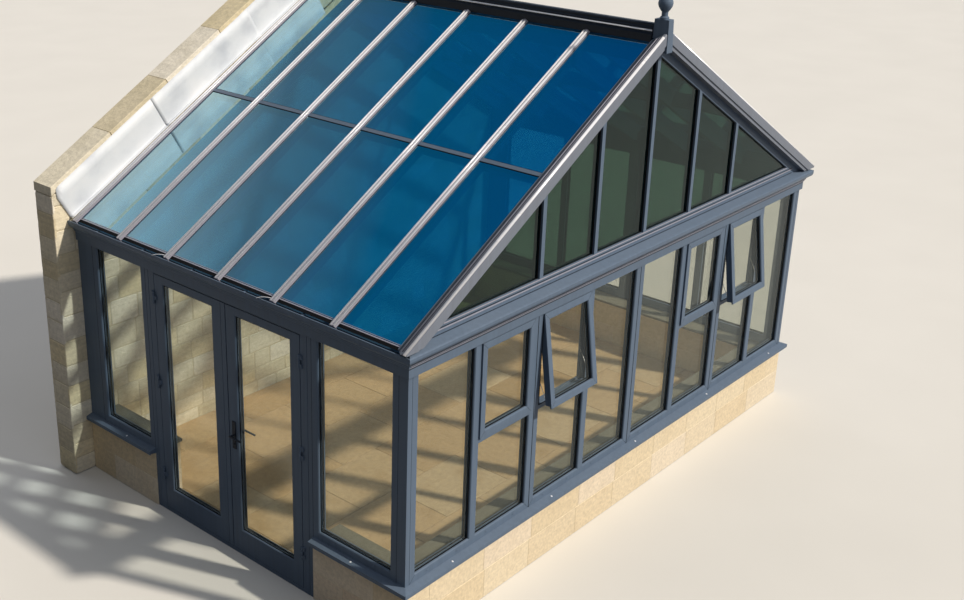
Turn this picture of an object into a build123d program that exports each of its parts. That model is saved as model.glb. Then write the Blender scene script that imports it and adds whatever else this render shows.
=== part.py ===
from build123d import *
from math import cos, pi, radians, sin, tan
import os

# A gable-fronted aluminium conservatory on a stone dwarf wall, built against a gable wall.
# Millimetres. The front gable looks along -Y, the stone wall stands behind, +Z is up,
# and the origin is the middle of the plan at ground level.

# Plan of the front: four coupled two-light units between corner posts
unit_count = 4
unit_width = 1357
post_face = 42

# Plan of the sides, from the front corner to the stone wall
post_side = 82
front_light_width = 820
door_frame_width = 1864
rear_light_width = 700
rear_post_width = 194

# Heights
wall_height = 490
sill_thickness = 47
frame_height = 1643

# Masonry and floor
dwarf_wall_thickness = 260
dwarf_wall_reveal = 10
back_wall_thickness = 250
back_wall_margin = 210
back_wall_rise = 400
floor_thickness = 45

# Window frames
frame_depth = 70
frame_face = 61
mullion_face = 75
transom_face = 48
side_mullion_face = 75
joint_gap = 0.6
frame_bevel = 7
joint_groove = 4

# Double glazing in its grooves
glass_thickness = 28
glass_setback = 22
glass_bite = 12
glass_clearance = 2
groove_clearance = 0.5

# Top-hung vents
vent_height = 723
sash_face = 57
sash_proud = 14
sash_lap = 8
sash_depth = 50
sash_clearance = 4
sash_gap = 0.4
vent_angle = 8.4

# Double doors
door_jamb = 110
door_jamb_cover = 40
door_stop = 12
door_stop_depth = 8
threshold_height = 30
leaf_gap = 6
meeting_gap = 10
leaf_thickness = 56
leaf_stile = 105
leaf_top_rail = 68
leaf_bottom_rail = 194
false_mullion = 50
hinge_radius = 9
hinge_standoff = 12
hinge_plate = 26
knuckle_length = 34
knuckle_gap = 0.5
hinge_heights = (330, 1170, 1900)
handle_height = 1050
handle_plate_width = 36
handle_plate_height = 230
handle_plate_thickness = 8
lever_length = 125
lever_radius = 8
lever_standoff = 44

# Sills and window boards
sill_projection = 60
sill_fall = 15
sill_nose = 32
sill_lip = 8
board_thickness = 25
board_nose = 25

# Ring beam, mouldings and gutter
beam_depth = 75
skirt_drop = 42
skirt_projection = 18
skirt_clearance = 0.5
reed_step = 8
reed_height = 8
fascia_height = 70
beam_projection = 80
beam_nose = 26
gable_sill_rise = 160
gutter_depth = 52
gutter_lip = 8

# Roof
roof_pitch = 30
roof_seat = 145
eaves_overhang = 42
roof_glass_thickness = 25
roof_bays = 6
verge_line = 38
wall_bar_inset = 70
bar_width = 50
bar_depth = 80
bar_web = 12
bar_clearance = 2
transom_distance = 1680
purlin_depth = 60
cover_width = 34
cover_height = 5
cap_width = 60
cap_height = 16
cap_flange = 5
cap_overhang = 18
cap_end = 3
seat_gap = 0.3
eaves_closure = 18
ridge_beam_width = 100
ridge_beam_depth = 130
ridge_cap_width = 104
ridge_cap_height = 135
ridge_tiers = (0.42, 0.5, 0.76, 0.82)
ridge_glass_gap = 30

# Gable
gable_rafter = 83
gable_rail = 77
gable_bar = 42
gable_bars = 5

# Verge cappings, apex and finial
verge_projection = 68
verge_cover = 60
verge_height = 60
verge_drop = 44
verge_step = 10
verge_foot = 100
verge_glass_edge = 10
apex_width = 80
apex_front = 75
apex_drop = 100
apex_rise = 145
apex_taper = 3
finial_height = 400
finial_foot_radius = 35
finial_foot_height = 12
finial_neck_radius = 24
finial_neck_height = 28
finial_bulb_radius = 56
finial_bulb_height = 128
finial_bulb_steps = 8
finial_bead_radius = 27
finial_bead_height = 12
finial_tip_radius = 5

# Lead flashing
lead_thickness = 4
lead_upstand = 294
lead_foot = 38
lead_start = 0

# Worked out from the sizes above
width = unit_count * unit_width + 2 * post_face
side_widths = (post_side, front_light_width, door_frame_width, rear_light_width, rear_post_width)
depth = sum(side_widths)
vent_swing = (vent_height + 2 * sash_lap) * sin(radians(vent_angle))
vent_reach = vent_swing + (sash_proud - sash_gap) * cos(radians(vent_angle)) + sash_gap
overall_depth = depth + back_wall_thickness + vent_reach
left = -width / 2
right = width / 2
front = vent_reach - overall_depth / 2
rear = front + depth
sill_top = wall_height + sill_thickness
frame_top = sill_top + frame_height
skirt_bottom = frame_top - skirt_drop
gable_sill = frame_top + gable_sill_rise
eaves_height = frame_top + roof_seat
slope_cos = cos(radians(roof_pitch))
slope_sin = sin(radians(roof_pitch))
slope_tan = tan(radians(roof_pitch))
eaves_line = left - eaves_overhang
slope_length = -eaves_line / slope_cos
apex_height = eaves_height - eaves_line * slope_tan
inner_wall = dwarf_wall_thickness - dwarf_wall_reveal
door_start = rear_post_width + rear_light_width
door_front = post_side + front_light_width
bay = (depth - wall_bar_inset - verge_line) / roof_bays
bar_lines = [verge_line + bay * number for number in range(1, roof_bays + 1)]
far = 4 * (width + depth)

# Planes of the four sides, each with its own x to the right as seen from outside
front_side = Plane(origin=(left, front, 0), x_dir=(1, 0, 0), z_dir=(0, -1, 0))
left_side = Plane(origin=(left, rear, 0), x_dir=(0, -1, 0), z_dir=(-1, 0, 0))
right_side = Plane(origin=(right, front, 0), x_dir=(0, 1, 0), z_dir=(1, 0, 0))

# The left roof slope: x runs up the slope, y to the rear, z out of the glass
slope = Plane(
    origin=(eaves_line, front, eaves_height),
    x_dir=(slope_cos, 0, slope_sin),
    z_dir=(-slope_sin, 0, slope_cos),
)


def slope_section(distance):
    """The plane across the left slope, this far above the lower edge of its glass."""
    return Plane(
        origin=slope.from_local_coords((distance, 0, 0)),
        x_dir=(0, 1, 0),
        z_dir=(slope_cos, 0, slope_sin),
    )


def cross_section(distance=0):
    """The upright plane this far behind the front, with x from the ridge line and y up."""
    return Plane(origin=(0, front + distance, 0), x_dir=(1, 0, 0), z_dir=(0, -1, 0))


def roof_height(x, drop=0):
    """Height of the plane that lies drop below the top of the glass, at this x."""
    return apex_height - abs(x) * slope_tan - drop / slope_cos


def mirrored(part):
    """The same piece on the other side of the ridge."""
    return mirror(part, about=Plane.YZ, mode=Mode.PRIVATE)


def rectangles(plane, boxes, growth=0):
    """Rectangles given as left, bottom, width and height on a plane, grown on every side."""
    with BuildSketch(plane) as shapes:
        for x, y, across, up in boxes:
            with Locations((x + across / 2, y + up / 2)):
                Rectangle(across + 2 * growth, up + 2 * growth)
    return shapes.sketch


def panes(plane, openings, setback=glass_setback):
    """Glass that fills the grooves round these openings."""
    with BuildPart() as glass:
        extrude(
            rectangles(plane.offset(-setback), openings, glass_bite - glass_clearance),
            amount=-glass_thickness,
        )
    return glass.part


def cut_grooves(plane, openings, setback=glass_setback):
    """The solid that glazing grooves take out of a frame."""
    with BuildPart() as groove:
        extrude(
            rectangles(plane.offset(groove_clearance - setback), openings, glass_bite),
            amount=-glass_thickness - 2 * groove_clearance,
        )
    return groove.part


def window_frame(plane, outline, openings):
    """A bevelled frame with glazing grooves round its openings."""
    with BuildPart() as frame:
        extrude(rectangles(plane, [outline], -joint_gap / 2), amount=-frame_depth)
        extrude(rectangles(plane, openings), amount=-frame_depth, mode=Mode.SUBTRACT)
        extrude(
            rectangles(plane, openings, frame_bevel),
            amount=-frame_bevel,
            taper=45,
            mode=Mode.SUBTRACT,
        )
        add(cut_grooves(plane, openings), mode=Mode.SUBTRACT)
    return frame.part


def unit_openings(start, unit, mullion, vent=None):
    """The two lights of a unit, with a vent over a fixed light at place vent, if any."""
    light = (unit - 2 * frame_face - mullion) / 2
    bottom = sill_top + frame_face
    top = frame_top - frame_face
    vent_bottom = top - vent_height
    fixed = []
    vents = []
    for place in range(2):
        x = start + frame_face + place * (light + mullion)
        if place == vent:
            vents.append((x, vent_bottom, light, vent_height))
            fixed.append((x, bottom, light, vent_bottom - transom_face - bottom))
        else:
            fixed.append((x, bottom, light, top - bottom))
    return fixed, vents


def vent_pivot(plane, opening):
    """The line that a vent turns on: the top edge of its sash against the frame."""
    x, y, across, up = opening
    place = plane.offset(sash_gap).from_local_coords((x, y + up + sash_lap, 0))
    return Axis(place, plane.x_dir)


def vent_sash(plane, opening):
    """A closed sash: a proud flange that laps the frame and a body inside the opening."""
    x, y, across, up = opening
    face = plane.offset(sash_proud)
    body = plane.offset(sash_gap)
    sight = (
        x - sash_lap + sash_face,
        y - sash_lap + sash_face,
        across + 2 * sash_lap - 2 * sash_face,
        up + 2 * sash_lap - 2 * sash_face,
    )
    with BuildPart() as sash:
        extrude(rectangles(body, [opening], sash_lap), amount=sash_proud - sash_gap)
        extrude(rectangles(body, [opening], -sash_clearance), amount=-sash_depth)
        extrude(rectangles(face, [sight]), amount=-sash_proud - sash_depth, mode=Mode.SUBTRACT)
        extrude(
            rectangles(face, [sight], frame_bevel),
            amount=-frame_bevel,
            taper=45,
            mode=Mode.SUBTRACT,
        )
        add(cut_grooves(face, [sight]), mode=Mode.SUBTRACT)
    return sash.part, panes(face, [sight])


def beam_profile(plane, guttered):
    """The moulded ring beam: skirt, fascia, three reeds, then a gutter or a weathered sill."""
    fascia_top = skirt_bottom + fascia_height
    with BuildSketch(plane) as profile:
        with BuildLine():
            outer = [(0, frame_top), (skirt_clearance, frame_top)]
            outer += [(skirt_clearance, skirt_bottom), (skirt_projection, skirt_bottom)]
            outer.append((skirt_projection, fascia_top))
            for reed in range(1, 4):
                reach = skirt_projection + reed * reed_step
                base = fascia_top + (reed - 1) * (reed_height + reed_step)
                outer.append((reach, base + reed_step))
                outer.append((reach, base + reed_step + reed_height))
            reach, nose_bottom = outer[-1]
            nose_foot = nose_bottom + beam_projection - reach
            nose_top = nose_foot + beam_nose
            Polyline(*outer)
            RadiusArc((reach, nose_bottom), (beam_projection, nose_foot), -(beam_projection - reach))
            if guttered:
                trough = nose_top - gutter_depth
                lip = beam_projection - gutter_lip
                closure = roof_height(left, roof_glass_thickness + seat_gap)
                closure_in = roof_height(left + eaves_closure, roof_glass_thickness + seat_gap)
                seat = bar_depth + roof_glass_thickness + seat_gap
                Polyline(
                    (beam_projection, nose_foot),
                    (beam_projection, nose_top),
                    (lip, nose_top),
                    (lip, trough + gutter_lip),
                    (lip - gutter_lip, trough),
                    (0, trough),
                    (0, closure),
                    (-eaves_closure, closure_in),
                    (-eaves_closure, roof_height(left + eaves_closure, seat)),
                    (-beam_depth, roof_height(left + beam_depth, seat)),
                    (-beam_depth, frame_top),
                    (0, frame_top),
                )
            else:
                Polyline(
                    (beam_projection, nose_foot),
                    (beam_projection, nose_top - gutter_lip),
                    (beam_projection - gutter_lip, nose_top),
                    (0, gable_sill),
                    (-beam_depth, gable_sill),
                    (-beam_depth, frame_top),
                    (0, frame_top),
                )
        make_face()
    return profile.sketch


def sill_profile(plane):
    """A sill under the frames with a sloping top, a nose and a drip."""
    with BuildSketch(plane) as profile:
        with BuildLine():
            Polyline(
                (-frame_depth, wall_height),
                (-frame_depth, sill_top),
                (0, sill_top),
                (sill_projection, sill_top - sill_fall),
                (sill_projection, sill_top - sill_fall - sill_nose),
                (sill_projection - sill_lip, sill_top - sill_fall - sill_nose),
                (sill_projection - sill_lip, wall_height + sill_lip),
                (dwarf_wall_reveal, wall_height),
                close=True,
            )
        make_face()
    return profile.sketch


# Profile planes: local x points out of the building, local y up
left_profile = Plane(origin=(left, front - beam_projection, 0), x_dir=(-1, 0, 0), z_dir=(0, 1, 0))
front_profile = Plane(origin=(right + beam_projection, front, 0), x_dir=(0, -1, 0), z_dir=(-1, 0, 0))

# Mitre planes through the two front corners
left_mitre = Plane(origin=(left, front, 0), z_dir=(1, -1, 0))
right_mitre = Plane(origin=(right, front, 0), z_dir=(-1, -1, 0))

# Floor and masonry
with BuildPart() as floor_slab:
    with BuildSketch():
        with Locations((0, (front + inner_wall + rear) / 2)):
            Rectangle(width - 2 * inner_wall, depth - inner_wall)
        with Locations((left + (frame_depth + inner_wall) / 2, rear - door_start - door_frame_width / 2)):
            Rectangle(inner_wall - frame_depth, door_frame_width)
    extrude(amount=floor_thickness)

with BuildPart() as front_dwarf_wall:
    with BuildSketch(front_side.offset(dwarf_wall_reveal)):
        with Locations((width / 2, wall_height / 2)):
            Rectangle(width + 2 * dwarf_wall_reveal, wall_height)
    extrude(amount=-dwarf_wall_thickness)


def side_dwarf_wall(plane, start, length):
    """A straight length of dwarf wall behind a side plane."""
    with BuildPart() as wall:
        with BuildSketch(plane.offset(dwarf_wall_reveal)):
            with Locations((start + length / 2, wall_height / 2)):
                Rectangle(length, wall_height)
        extrude(amount=-dwarf_wall_thickness)
    return wall.part


left_front_dwarf_wall = side_dwarf_wall(
    left_side, door_start + door_frame_width, door_front - inner_wall
)
left_rear_dwarf_wall = side_dwarf_wall(left_side, 0, door_start)
right_dwarf_wall = side_dwarf_wall(right_side, inner_wall, depth - inner_wall)

with BuildPart() as back_wall:
    wall_edge = width / 2 + back_wall_margin
    with BuildSketch(cross_section(depth)):
        with BuildLine():
            Polyline(
                (-wall_edge, 0),
                (wall_edge, 0),
                (wall_edge, roof_height(wall_edge) + back_wall_rise),
                (0, apex_height + back_wall_rise),
                (-wall_edge, roof_height(wall_edge) + back_wall_rise),
                close=True,
            )
        make_face()
    extrude(amount=-back_wall_thickness)

# Sills, mitred at the corners, and window boards inside
with BuildPart() as front_sill:
    extrude(sill_profile(front_profile), amount=width + 2 * beam_projection)
    split(bisect_by=left_mitre, keep=Keep.TOP)
    split(bisect_by=right_mitre, keep=Keep.TOP)

with BuildPart() as side_sill:
    extrude(sill_profile(left_profile), amount=depth + beam_projection)
    split(bisect_by=left_mitre, keep=Keep.BOTTOM)

with BuildPart() as side_sills:
    add(side_sill.part)
    with Locations((left, front + door_front + door_frame_width / 2, sill_top)):
        Box(far, door_frame_width, far, mode=Mode.SUBTRACT)
    add(mirrored(side_sill.part))

with BuildPart() as window_boards:
    board_top = wall_height + board_thickness
    board_width = inner_wall + board_nose - frame_depth
    front_board = (
        inner_wall + board_nose,
        wall_height,
        width - 2 * inner_wall - 2 * board_nose,
        board_thickness,
    )
    extrude(
        rectangles(front_side.offset(-frame_depth - joint_gap), [front_board]),
        amount=-board_width,
    )
    left_boards = [
        (joint_gap, wall_height, door_start - joint_gap, board_thickness),
        (
            door_start + door_frame_width,
            wall_height,
            door_front - frame_depth - joint_gap,
            board_thickness,
        ),
    ]
    extrude(
        rectangles(left_side.offset(-frame_depth - joint_gap), left_boards),
        amount=-board_width + 2 * joint_gap,
    )
    right_board = (
        frame_depth + joint_gap,
        wall_height,
        depth - frame_depth - 2 * joint_gap,
        board_thickness,
    )
    extrude(
        rectangles(right_side.offset(-frame_depth - joint_gap), [right_board]),
        amount=-board_width + 2 * joint_gap,
    )

# Posts
with BuildPart() as posts:
    with BuildSketch(Plane.XY.offset(sill_top)):
        for side in (-1, 1):
            with Locations((side * (width - post_face) / 2, front + post_side / 2)):
                Rectangle(post_face, post_side)
            with Locations((side * (width - frame_depth) / 2, rear - rear_post_width / 2)):
                Rectangle(frame_depth, rear_post_width)
    extrude(amount=frame_height)

# Front units: the vent is the second light of the odd units and the first of the even ones
front_frames = []
front_openings = []
vent_openings = []
for unit in range(unit_count):
    start = post_face + unit * unit_width
    fixed, vents = unit_openings(start, unit_width, mullion_face, vent=(unit + 1) % 2)
    outline = (start, sill_top, unit_width, frame_height)
    front_frames.append(window_frame(front_side, outline, fixed + vents))
    front_openings += fixed
    vent_openings += vents

front_glass = panes(front_side, front_openings)

# Vents: shut in the odd units, ajar in the even ones
closed_sashes = []
open_sashes = []
with BuildPart() as vent_glass:
    for number, opening in enumerate(vent_openings):
        sash, pane = vent_sash(front_side, opening)
        if number % 2 == 0:
            closed_sashes.append(sash)
            add(pane)
        else:
            hinge_line = vent_pivot(front_side, opening)
            open_sashes.append(sash.rotate(hinge_line, -vent_angle))
            add(pane.rotate(hinge_line, -vent_angle))

with BuildPart() as closed_vents:
    add(closed_sashes)

with BuildPart() as open_vents:
    add(open_sashes)

# Left side: fixed lights either side of the doors
rear_light = (rear_post_width, sill_top, rear_light_width, frame_height)
front_light = (door_start + door_frame_width, sill_top, front_light_width, frame_height)
left_light_openings = []
with BuildPart() as left_light_frames:
    for outline in (rear_light, front_light):
        x, y, across, up = outline
        opening = (x + frame_face, y + frame_face, across - 2 * frame_face, up - 2 * frame_face)
        left_light_openings.append(opening)
        add(window_frame(left_side, outline, [opening]))

left_light_glass = panes(left_side, left_light_openings)

# Right side: two coupled units with two fixed lights each
right_unit = (depth - post_side - rear_post_width) / 2
right_openings = []
with BuildPart() as right_frames:
    for unit in range(2):
        start = post_side + unit * right_unit
        fixed, vents = unit_openings(start, right_unit, side_mullion_face)
        outline = (start, sill_top, right_unit, frame_height)
        add(window_frame(right_side, outline, fixed))
        right_openings += fixed

right_glass = panes(right_side, right_openings)

# Door frame with its stop, and a groove where the frame meets its cover
doorway_width = door_frame_width - 2 * door_jamb
doorway = (
    door_start + door_jamb,
    threshold_height,
    doorway_width,
    frame_top - frame_face - threshold_height,
)
stop_opening = (
    doorway[0] + door_stop,
    threshold_height,
    doorway_width - 2 * door_stop,
    doorway[3] - door_stop,
)
with BuildPart() as door_frame:
    extrude(
        rectangles(left_side, [(door_start, 0, door_frame_width, frame_top)]),
        amount=-frame_depth,
    )
    extrude(rectangles(left_side, [stop_opening]), amount=-frame_depth, mode=Mode.SUBTRACT)
    extrude(
        rectangles(left_side, [doorway]),
        amount=door_stop_depth - frame_depth,
        mode=Mode.SUBTRACT,
    )
    far_groove = door_start + door_frame_width - door_jamb_cover - joint_groove
    grooves = [
        (door_start + door_jamb_cover, 0, joint_groove, skirt_bottom),
        (far_groove, 0, joint_groove, skirt_bottom),
    ]
    extrude(rectangles(left_side, grooves), amount=-joint_groove, mode=Mode.SUBTRACT)

# Door leaves: the left one carries the false mullion, the right one the handle
leaf_setback = (leaf_thickness - glass_thickness) / 2
leaf_width = (doorway_width - 2 * leaf_gap - meeting_gap - false_mullion) / 2
leaf_bottom = threshold_height + leaf_gap
leaf_height = doorway[3] - 2 * leaf_gap
left_leaf_start = doorway[0] + leaf_gap
right_leaf_start = left_leaf_start + leaf_width + false_mullion + meeting_gap
hinge_plane = left_side.offset(hinge_standoff)
left_hinge_x = doorway[0] + leaf_gap / 2
right_hinge_x = doorway[0] + doorway_width - leaf_gap / 2


def knuckle(x, bottom, plate_side):
    """One hinge knuckle on its plate, which lies on the face to this side of the pin."""
    with BuildPart() as hinge:
        pin = Plane(
            origin=hinge_plane.from_local_coords((x, bottom, 0)),
            x_dir=(1, 0, 0),
            z_dir=(0, 0, 1),
        )
        with BuildSketch(pin):
            Circle(hinge_radius)
        extrude(amount=knuckle_length)
        plate_x = x if plate_side > 0 else x - hinge_plate
        extrude(
            rectangles(left_side, [(plate_x, bottom, hinge_plate, knuckle_length)]),
            amount=hinge_standoff,
        )
        gap = (x - leaf_gap / 2, bottom, leaf_gap, knuckle_length)
        extrude(rectangles(left_side, [gap]), amount=leaf_gap / 2, mode=Mode.SUBTRACT)
    return hinge.part


def leaf(start, extra, hinge_x, plate_side):
    """A door leaf with its glazing opening and its own hinge knuckles."""
    outline = (start, leaf_bottom, leaf_width + extra, leaf_height)
    opening = (
        start + leaf_stile,
        leaf_bottom + leaf_bottom_rail,
        leaf_width - 2 * leaf_stile,
        leaf_height - leaf_bottom_rail - leaf_top_rail,
    )
    with BuildPart() as door:
        extrude(rectangles(left_side, [outline]), amount=-leaf_thickness)
        extrude(rectangles(left_side, [opening]), amount=-leaf_thickness, mode=Mode.SUBTRACT)
        extrude(
            rectangles(left_side, [opening], frame_bevel),
            amount=-frame_bevel,
            taper=45,
            mode=Mode.SUBTRACT,
        )
        add(cut_grooves(left_side, [opening], leaf_setback), mode=Mode.SUBTRACT)
        if extra:
            seam = (start + leaf_width, leaf_bottom, joint_groove, leaf_height)
            extrude(rectangles(left_side, [seam]), amount=-joint_groove, mode=Mode.SUBTRACT)
        for height in hinge_heights:
            add(knuckle(hinge_x, height, plate_side))
    return door.part, panes(left_side, [opening], leaf_setback)


left_door_leaf, left_door_glass = leaf(left_leaf_start, false_mullion, left_hinge_x, 1)
right_door_leaf, right_door_glass = leaf(right_leaf_start, 0, right_hinge_x, -1)

with BuildPart() as door_hinges:
    for x, side in ((left_hinge_x, -1), (right_hinge_x, 1)):
        for height in hinge_heights:
            add(knuckle(x, height - knuckle_length - knuckle_gap, side))
            add(knuckle(x, height + knuckle_length + knuckle_gap, side))

# Lever handles inside and out, on the meeting stile of the right leaf
handle_x = right_leaf_start + leaf_stile / 2


def handle(plane):
    """A back plate on this plane, a neck and a lever towards the hinges."""
    plate = (
        handle_x - handle_plate_width / 2,
        handle_height - handle_plate_height / 2,
        handle_plate_width,
        handle_plate_height,
    )
    with BuildPart() as lever:
        extrude(rectangles(plane, [plate]), amount=handle_plate_thickness)
        with BuildSketch(plane.offset(handle_plate_thickness)):
            with Locations((handle_x, handle_height)):
                Circle(lever_radius)
        extrude(amount=lever_standoff - handle_plate_thickness)
        with BuildSketch(Plane(
            origin=plane.from_local_coords((handle_x - lever_radius, handle_height, lever_standoff)),
            z_dir=left_side.x_dir,
        )):
            Circle(lever_radius)
        extrude(amount=lever_length)
    return lever.part


with BuildPart() as door_handles:
    add(handle(left_side))
    mirror(about=left_side.offset(-leaf_thickness / 2))

# Ring beam
with BuildPart() as left_eaves_beam:
    extrude(beam_profile(left_profile, guttered=True), amount=depth + beam_projection)
    split(bisect_by=left_mitre, keep=Keep.BOTTOM)

right_eaves_beam = mirrored(left_eaves_beam.part)

with BuildPart() as above_corner:
    with BuildSketch(slope_section(-far)):
        with Locations((0, -roof_glass_thickness - seat_gap)):
            Rectangle(far, far, align=(Align.MIN, Align.MIN))
    extrude(amount=2 * far)

with BuildPart() as gable_beam:
    extrude(beam_profile(front_profile, guttered=False), amount=width + 2 * beam_projection)
    split(bisect_by=left_mitre, keep=Keep.TOP)
    split(bisect_by=right_mitre, keep=Keep.TOP)
    add(above_corner.part, mode=Mode.SUBTRACT)
    add(mirrored(above_corner.part), mode=Mode.SUBTRACT)


def gable_outline(drop, bottom):
    """The triangle under the roof, drop below the glass, that stands at this height."""
    reach = (apex_height - drop / slope_cos - bottom) / slope_tan
    with BuildSketch(cross_section()) as triangle:
        with BuildLine():
            Polyline(
                (-reach, bottom),
                (reach, bottom),
                (0, roof_height(0, drop)),
                close=True,
            )
        make_face()
    return triangle.sketch


def gable_openings(growth):
    """The panes of the gable between its bars, grown into the grooves."""
    drop = roof_glass_thickness + gable_rafter - growth
    bottom = gable_sill + gable_rail - growth
    triangle = gable_outline(drop, bottom)
    with BuildSketch(cross_section()) as openings:
        add(triangle)
        for number in range(gable_bars):
            x = (number - (gable_bars - 1) / 2) * unit_width / 2
            with Locations((x, apex_height / 2)):
                Rectangle(gable_bar - 2 * growth, apex_height, mode=Mode.SUBTRACT)
    return openings.sketch


with BuildPart() as gable_frame:
    extrude(gable_outline(roof_glass_thickness + seat_gap, gable_sill), amount=-frame_depth)
    extrude(gable_openings(0), amount=-frame_depth, mode=Mode.SUBTRACT)
    groove_sketch = gable_openings(glass_bite).moved(Location((0, glass_setback - groove_clearance, 0)))
    extrude(
        groove_sketch,
        amount=-glass_thickness - 2 * groove_clearance,
        mode=Mode.SUBTRACT,
    )

with BuildPart() as gable_glass:
    pane_sketch = gable_openings(glass_bite - glass_clearance).moved(Location((0, glass_setback, 0)))
    extrude(pane_sketch, amount=-glass_thickness)

# Roof bars and purlins of the left slope
bar_top = -roof_glass_thickness - seat_gap
with BuildPart() as left_roof_bars:
    with BuildSketch(slope_section(0)):
        for line in bar_lines[:-1]:
            with Locations((line, bar_top)):
                Rectangle(bar_width, bar_depth, align=(Align.CENTER, Align.MAX))
        with Locations((bar_lines[-1] - bar_width / 2, bar_top)):
            Rectangle(bar_width / 2 + wall_bar_inset - joint_gap, bar_depth, align=(Align.MIN, Align.MAX))
    extrude(amount=slope_length)
    with BuildSketch(slope.offset(bar_top)):
        with Locations((transom_distance, frame_depth + joint_gap)):
            Rectangle(bar_width, depth - frame_depth - 2 * joint_gap, align=(Align.CENTER, Align.MIN))
    extrude(amount=-purlin_depth)
    split(bisect_by=Plane(origin=(left + eaves_closure + seat_gap, 0, 0), z_dir=(1, 0, 0)), keep=Keep.TOP)
    with BuildSketch(slope_section(0)):
        for line in bar_lines:
            with Locations((line, bar_top)):
                Rectangle(bar_web, -bar_top, align=(Align.CENTER, Align.MIN))
    extrude(amount=slope_length)
    bay_lines = [frame_depth + joint_gap] + bar_lines
    with BuildSketch(slope_section(transom_distance - bar_web / 2)):
        for line, following in zip(bay_lines, bar_lines):
            with Locations((line, bar_top)):
                Rectangle(following - line, -bar_top, align=(Align.MIN, Align.MIN))
    extrude(amount=bar_web)
    cover_starts = [verge_cover + joint_gap] + [line + cap_width / 2 + joint_gap for line in bar_lines[:-1]]
    with BuildSketch(slope_section(transom_distance - cover_width / 2)):
        for line, following in zip(cover_starts, bar_lines):
            with Locations((line, seat_gap)):
                Rectangle(
                    following - cap_width / 2 - joint_gap - line,
                    cover_height,
                    align=(Align.MIN, Align.MIN),
                )
    extrude(amount=cover_width)
    with BuildSketch(slope_section(transom_distance - bar_web / 2)):
        for line, following in zip(cover_starts, bar_lines):
            with Locations((line, bar_top)):
                Rectangle(
                    following - cap_width / 2 - joint_gap - line,
                    -bar_top + cover_height,
                    align=(Align.MIN, Align.MIN),
                )
    extrude(amount=bar_web)
    split(
        bisect_by=Plane(origin=(-ridge_beam_width / 2 - seat_gap, 0, 0), z_dir=(1, 0, 0)),
        keep=Keep.BOTTOM,
    )

right_roof_bars = mirrored(left_roof_bars.part)

# Bar caps with their end plates
with BuildPart() as left_bar_caps:
    with BuildSketch(slope_section(-cap_overhang)):
        for line in bar_lines:
            with BuildLine():
                half = cap_width / 2
                crown = half / 3
                Polyline(
                    (line - half, seat_gap),
                    (line - half, cap_flange),
                    (line - crown - cap_flange, cap_flange * 2),
                    (line - crown, cap_height),
                    (line + crown, cap_height),
                    (line + crown + cap_flange, cap_flange * 2),
                    (line + half, cap_flange),
                    (line + half, seat_gap),
                    close=True,
                )
            make_face()
    extrude(amount=slope_length)
    split(
        bisect_by=Plane(origin=(-ridge_cap_width / 2 - seat_gap, 0, 0), z_dir=(1, 0, 0)),
        keep=Keep.BOTTOM,
    )
    with BuildSketch(slope_section(-cap_overhang)):
        for line in bar_lines:
            with Locations((line, bar_top)):
                Rectangle(cap_width, cap_flange - bar_top, align=(Align.CENTER, Align.MIN))
    extrude(amount=cap_end)

with BuildPart() as bar_caps:
    add(left_bar_caps.part)
    add(mirrored(left_bar_caps.part))

# Roof glass, a lower and an upper pane in each bay
with BuildPart() as left_roof_glass:
    glass_side = bar_web / 2 + bar_clearance
    pane_lines = [verge_glass_edge] + [line + glass_side for line in bar_lines[:-1]]
    upper_end = slope_length - ridge_glass_gap / slope_cos
    with BuildSketch(slope):
        for line, following in zip(pane_lines, bar_lines):
            across = following - glass_side - line
            with Locations((0, line)):
                Rectangle(transom_distance - glass_side, across, align=(Align.MIN, Align.MIN))
            with Locations((transom_distance + glass_side, line)):
                Rectangle(
                    upper_end - transom_distance - glass_side,
                    across,
                    align=(Align.MIN, Align.MIN),
                )
    extrude(amount=-roof_glass_thickness)

right_roof_glass = mirrored(left_roof_glass.part)

# Ridge beam under the glass and the stepped capping over it
with BuildPart() as ridge_beam:
    with BuildSketch(cross_section(frame_depth + joint_gap)):
        with BuildLine():
            half = ridge_beam_width / 2
            shoulder = roof_height(half, roof_glass_thickness + seat_gap)
            Polyline(
                (-half, shoulder - ridge_beam_depth),
                (half, shoulder - ridge_beam_depth),
                (half, shoulder),
                (0, roof_height(0, roof_glass_thickness + seat_gap)),
                (-half, shoulder),
                close=True,
            )
        make_face()
    extrude(amount=-(depth - frame_depth - 2 * joint_gap))

with BuildPart() as ridge_capping:
    capping_length = depth - verge_cover - 2 * joint_gap - lead_thickness - joint_gap
    with BuildSketch(cross_section(verge_cover + joint_gap)):
        with BuildLine():
            half = ridge_cap_width / 2
            foot = roof_height(half) + joint_gap
            step = half / 5
            tiers = [foot + ridge_cap_height * share for share in ridge_tiers]
            profile = [
                (half, foot),
                (half, tiers[0]),
                (half - step, tiers[1]),
                (half - step, tiers[2]),
                (half - 2 * step, tiers[3]),
                (half - 2 * step, foot + ridge_cap_height - step),
                (half - 3 * step, foot + ridge_cap_height),
            ]
            Polyline(
                (0, apex_height + joint_gap),
                *profile,
                *[(-x, z) for x, z in reversed(profile)],
                close=True,
            )
        make_face()
    extrude(amount=-capping_length)

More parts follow.
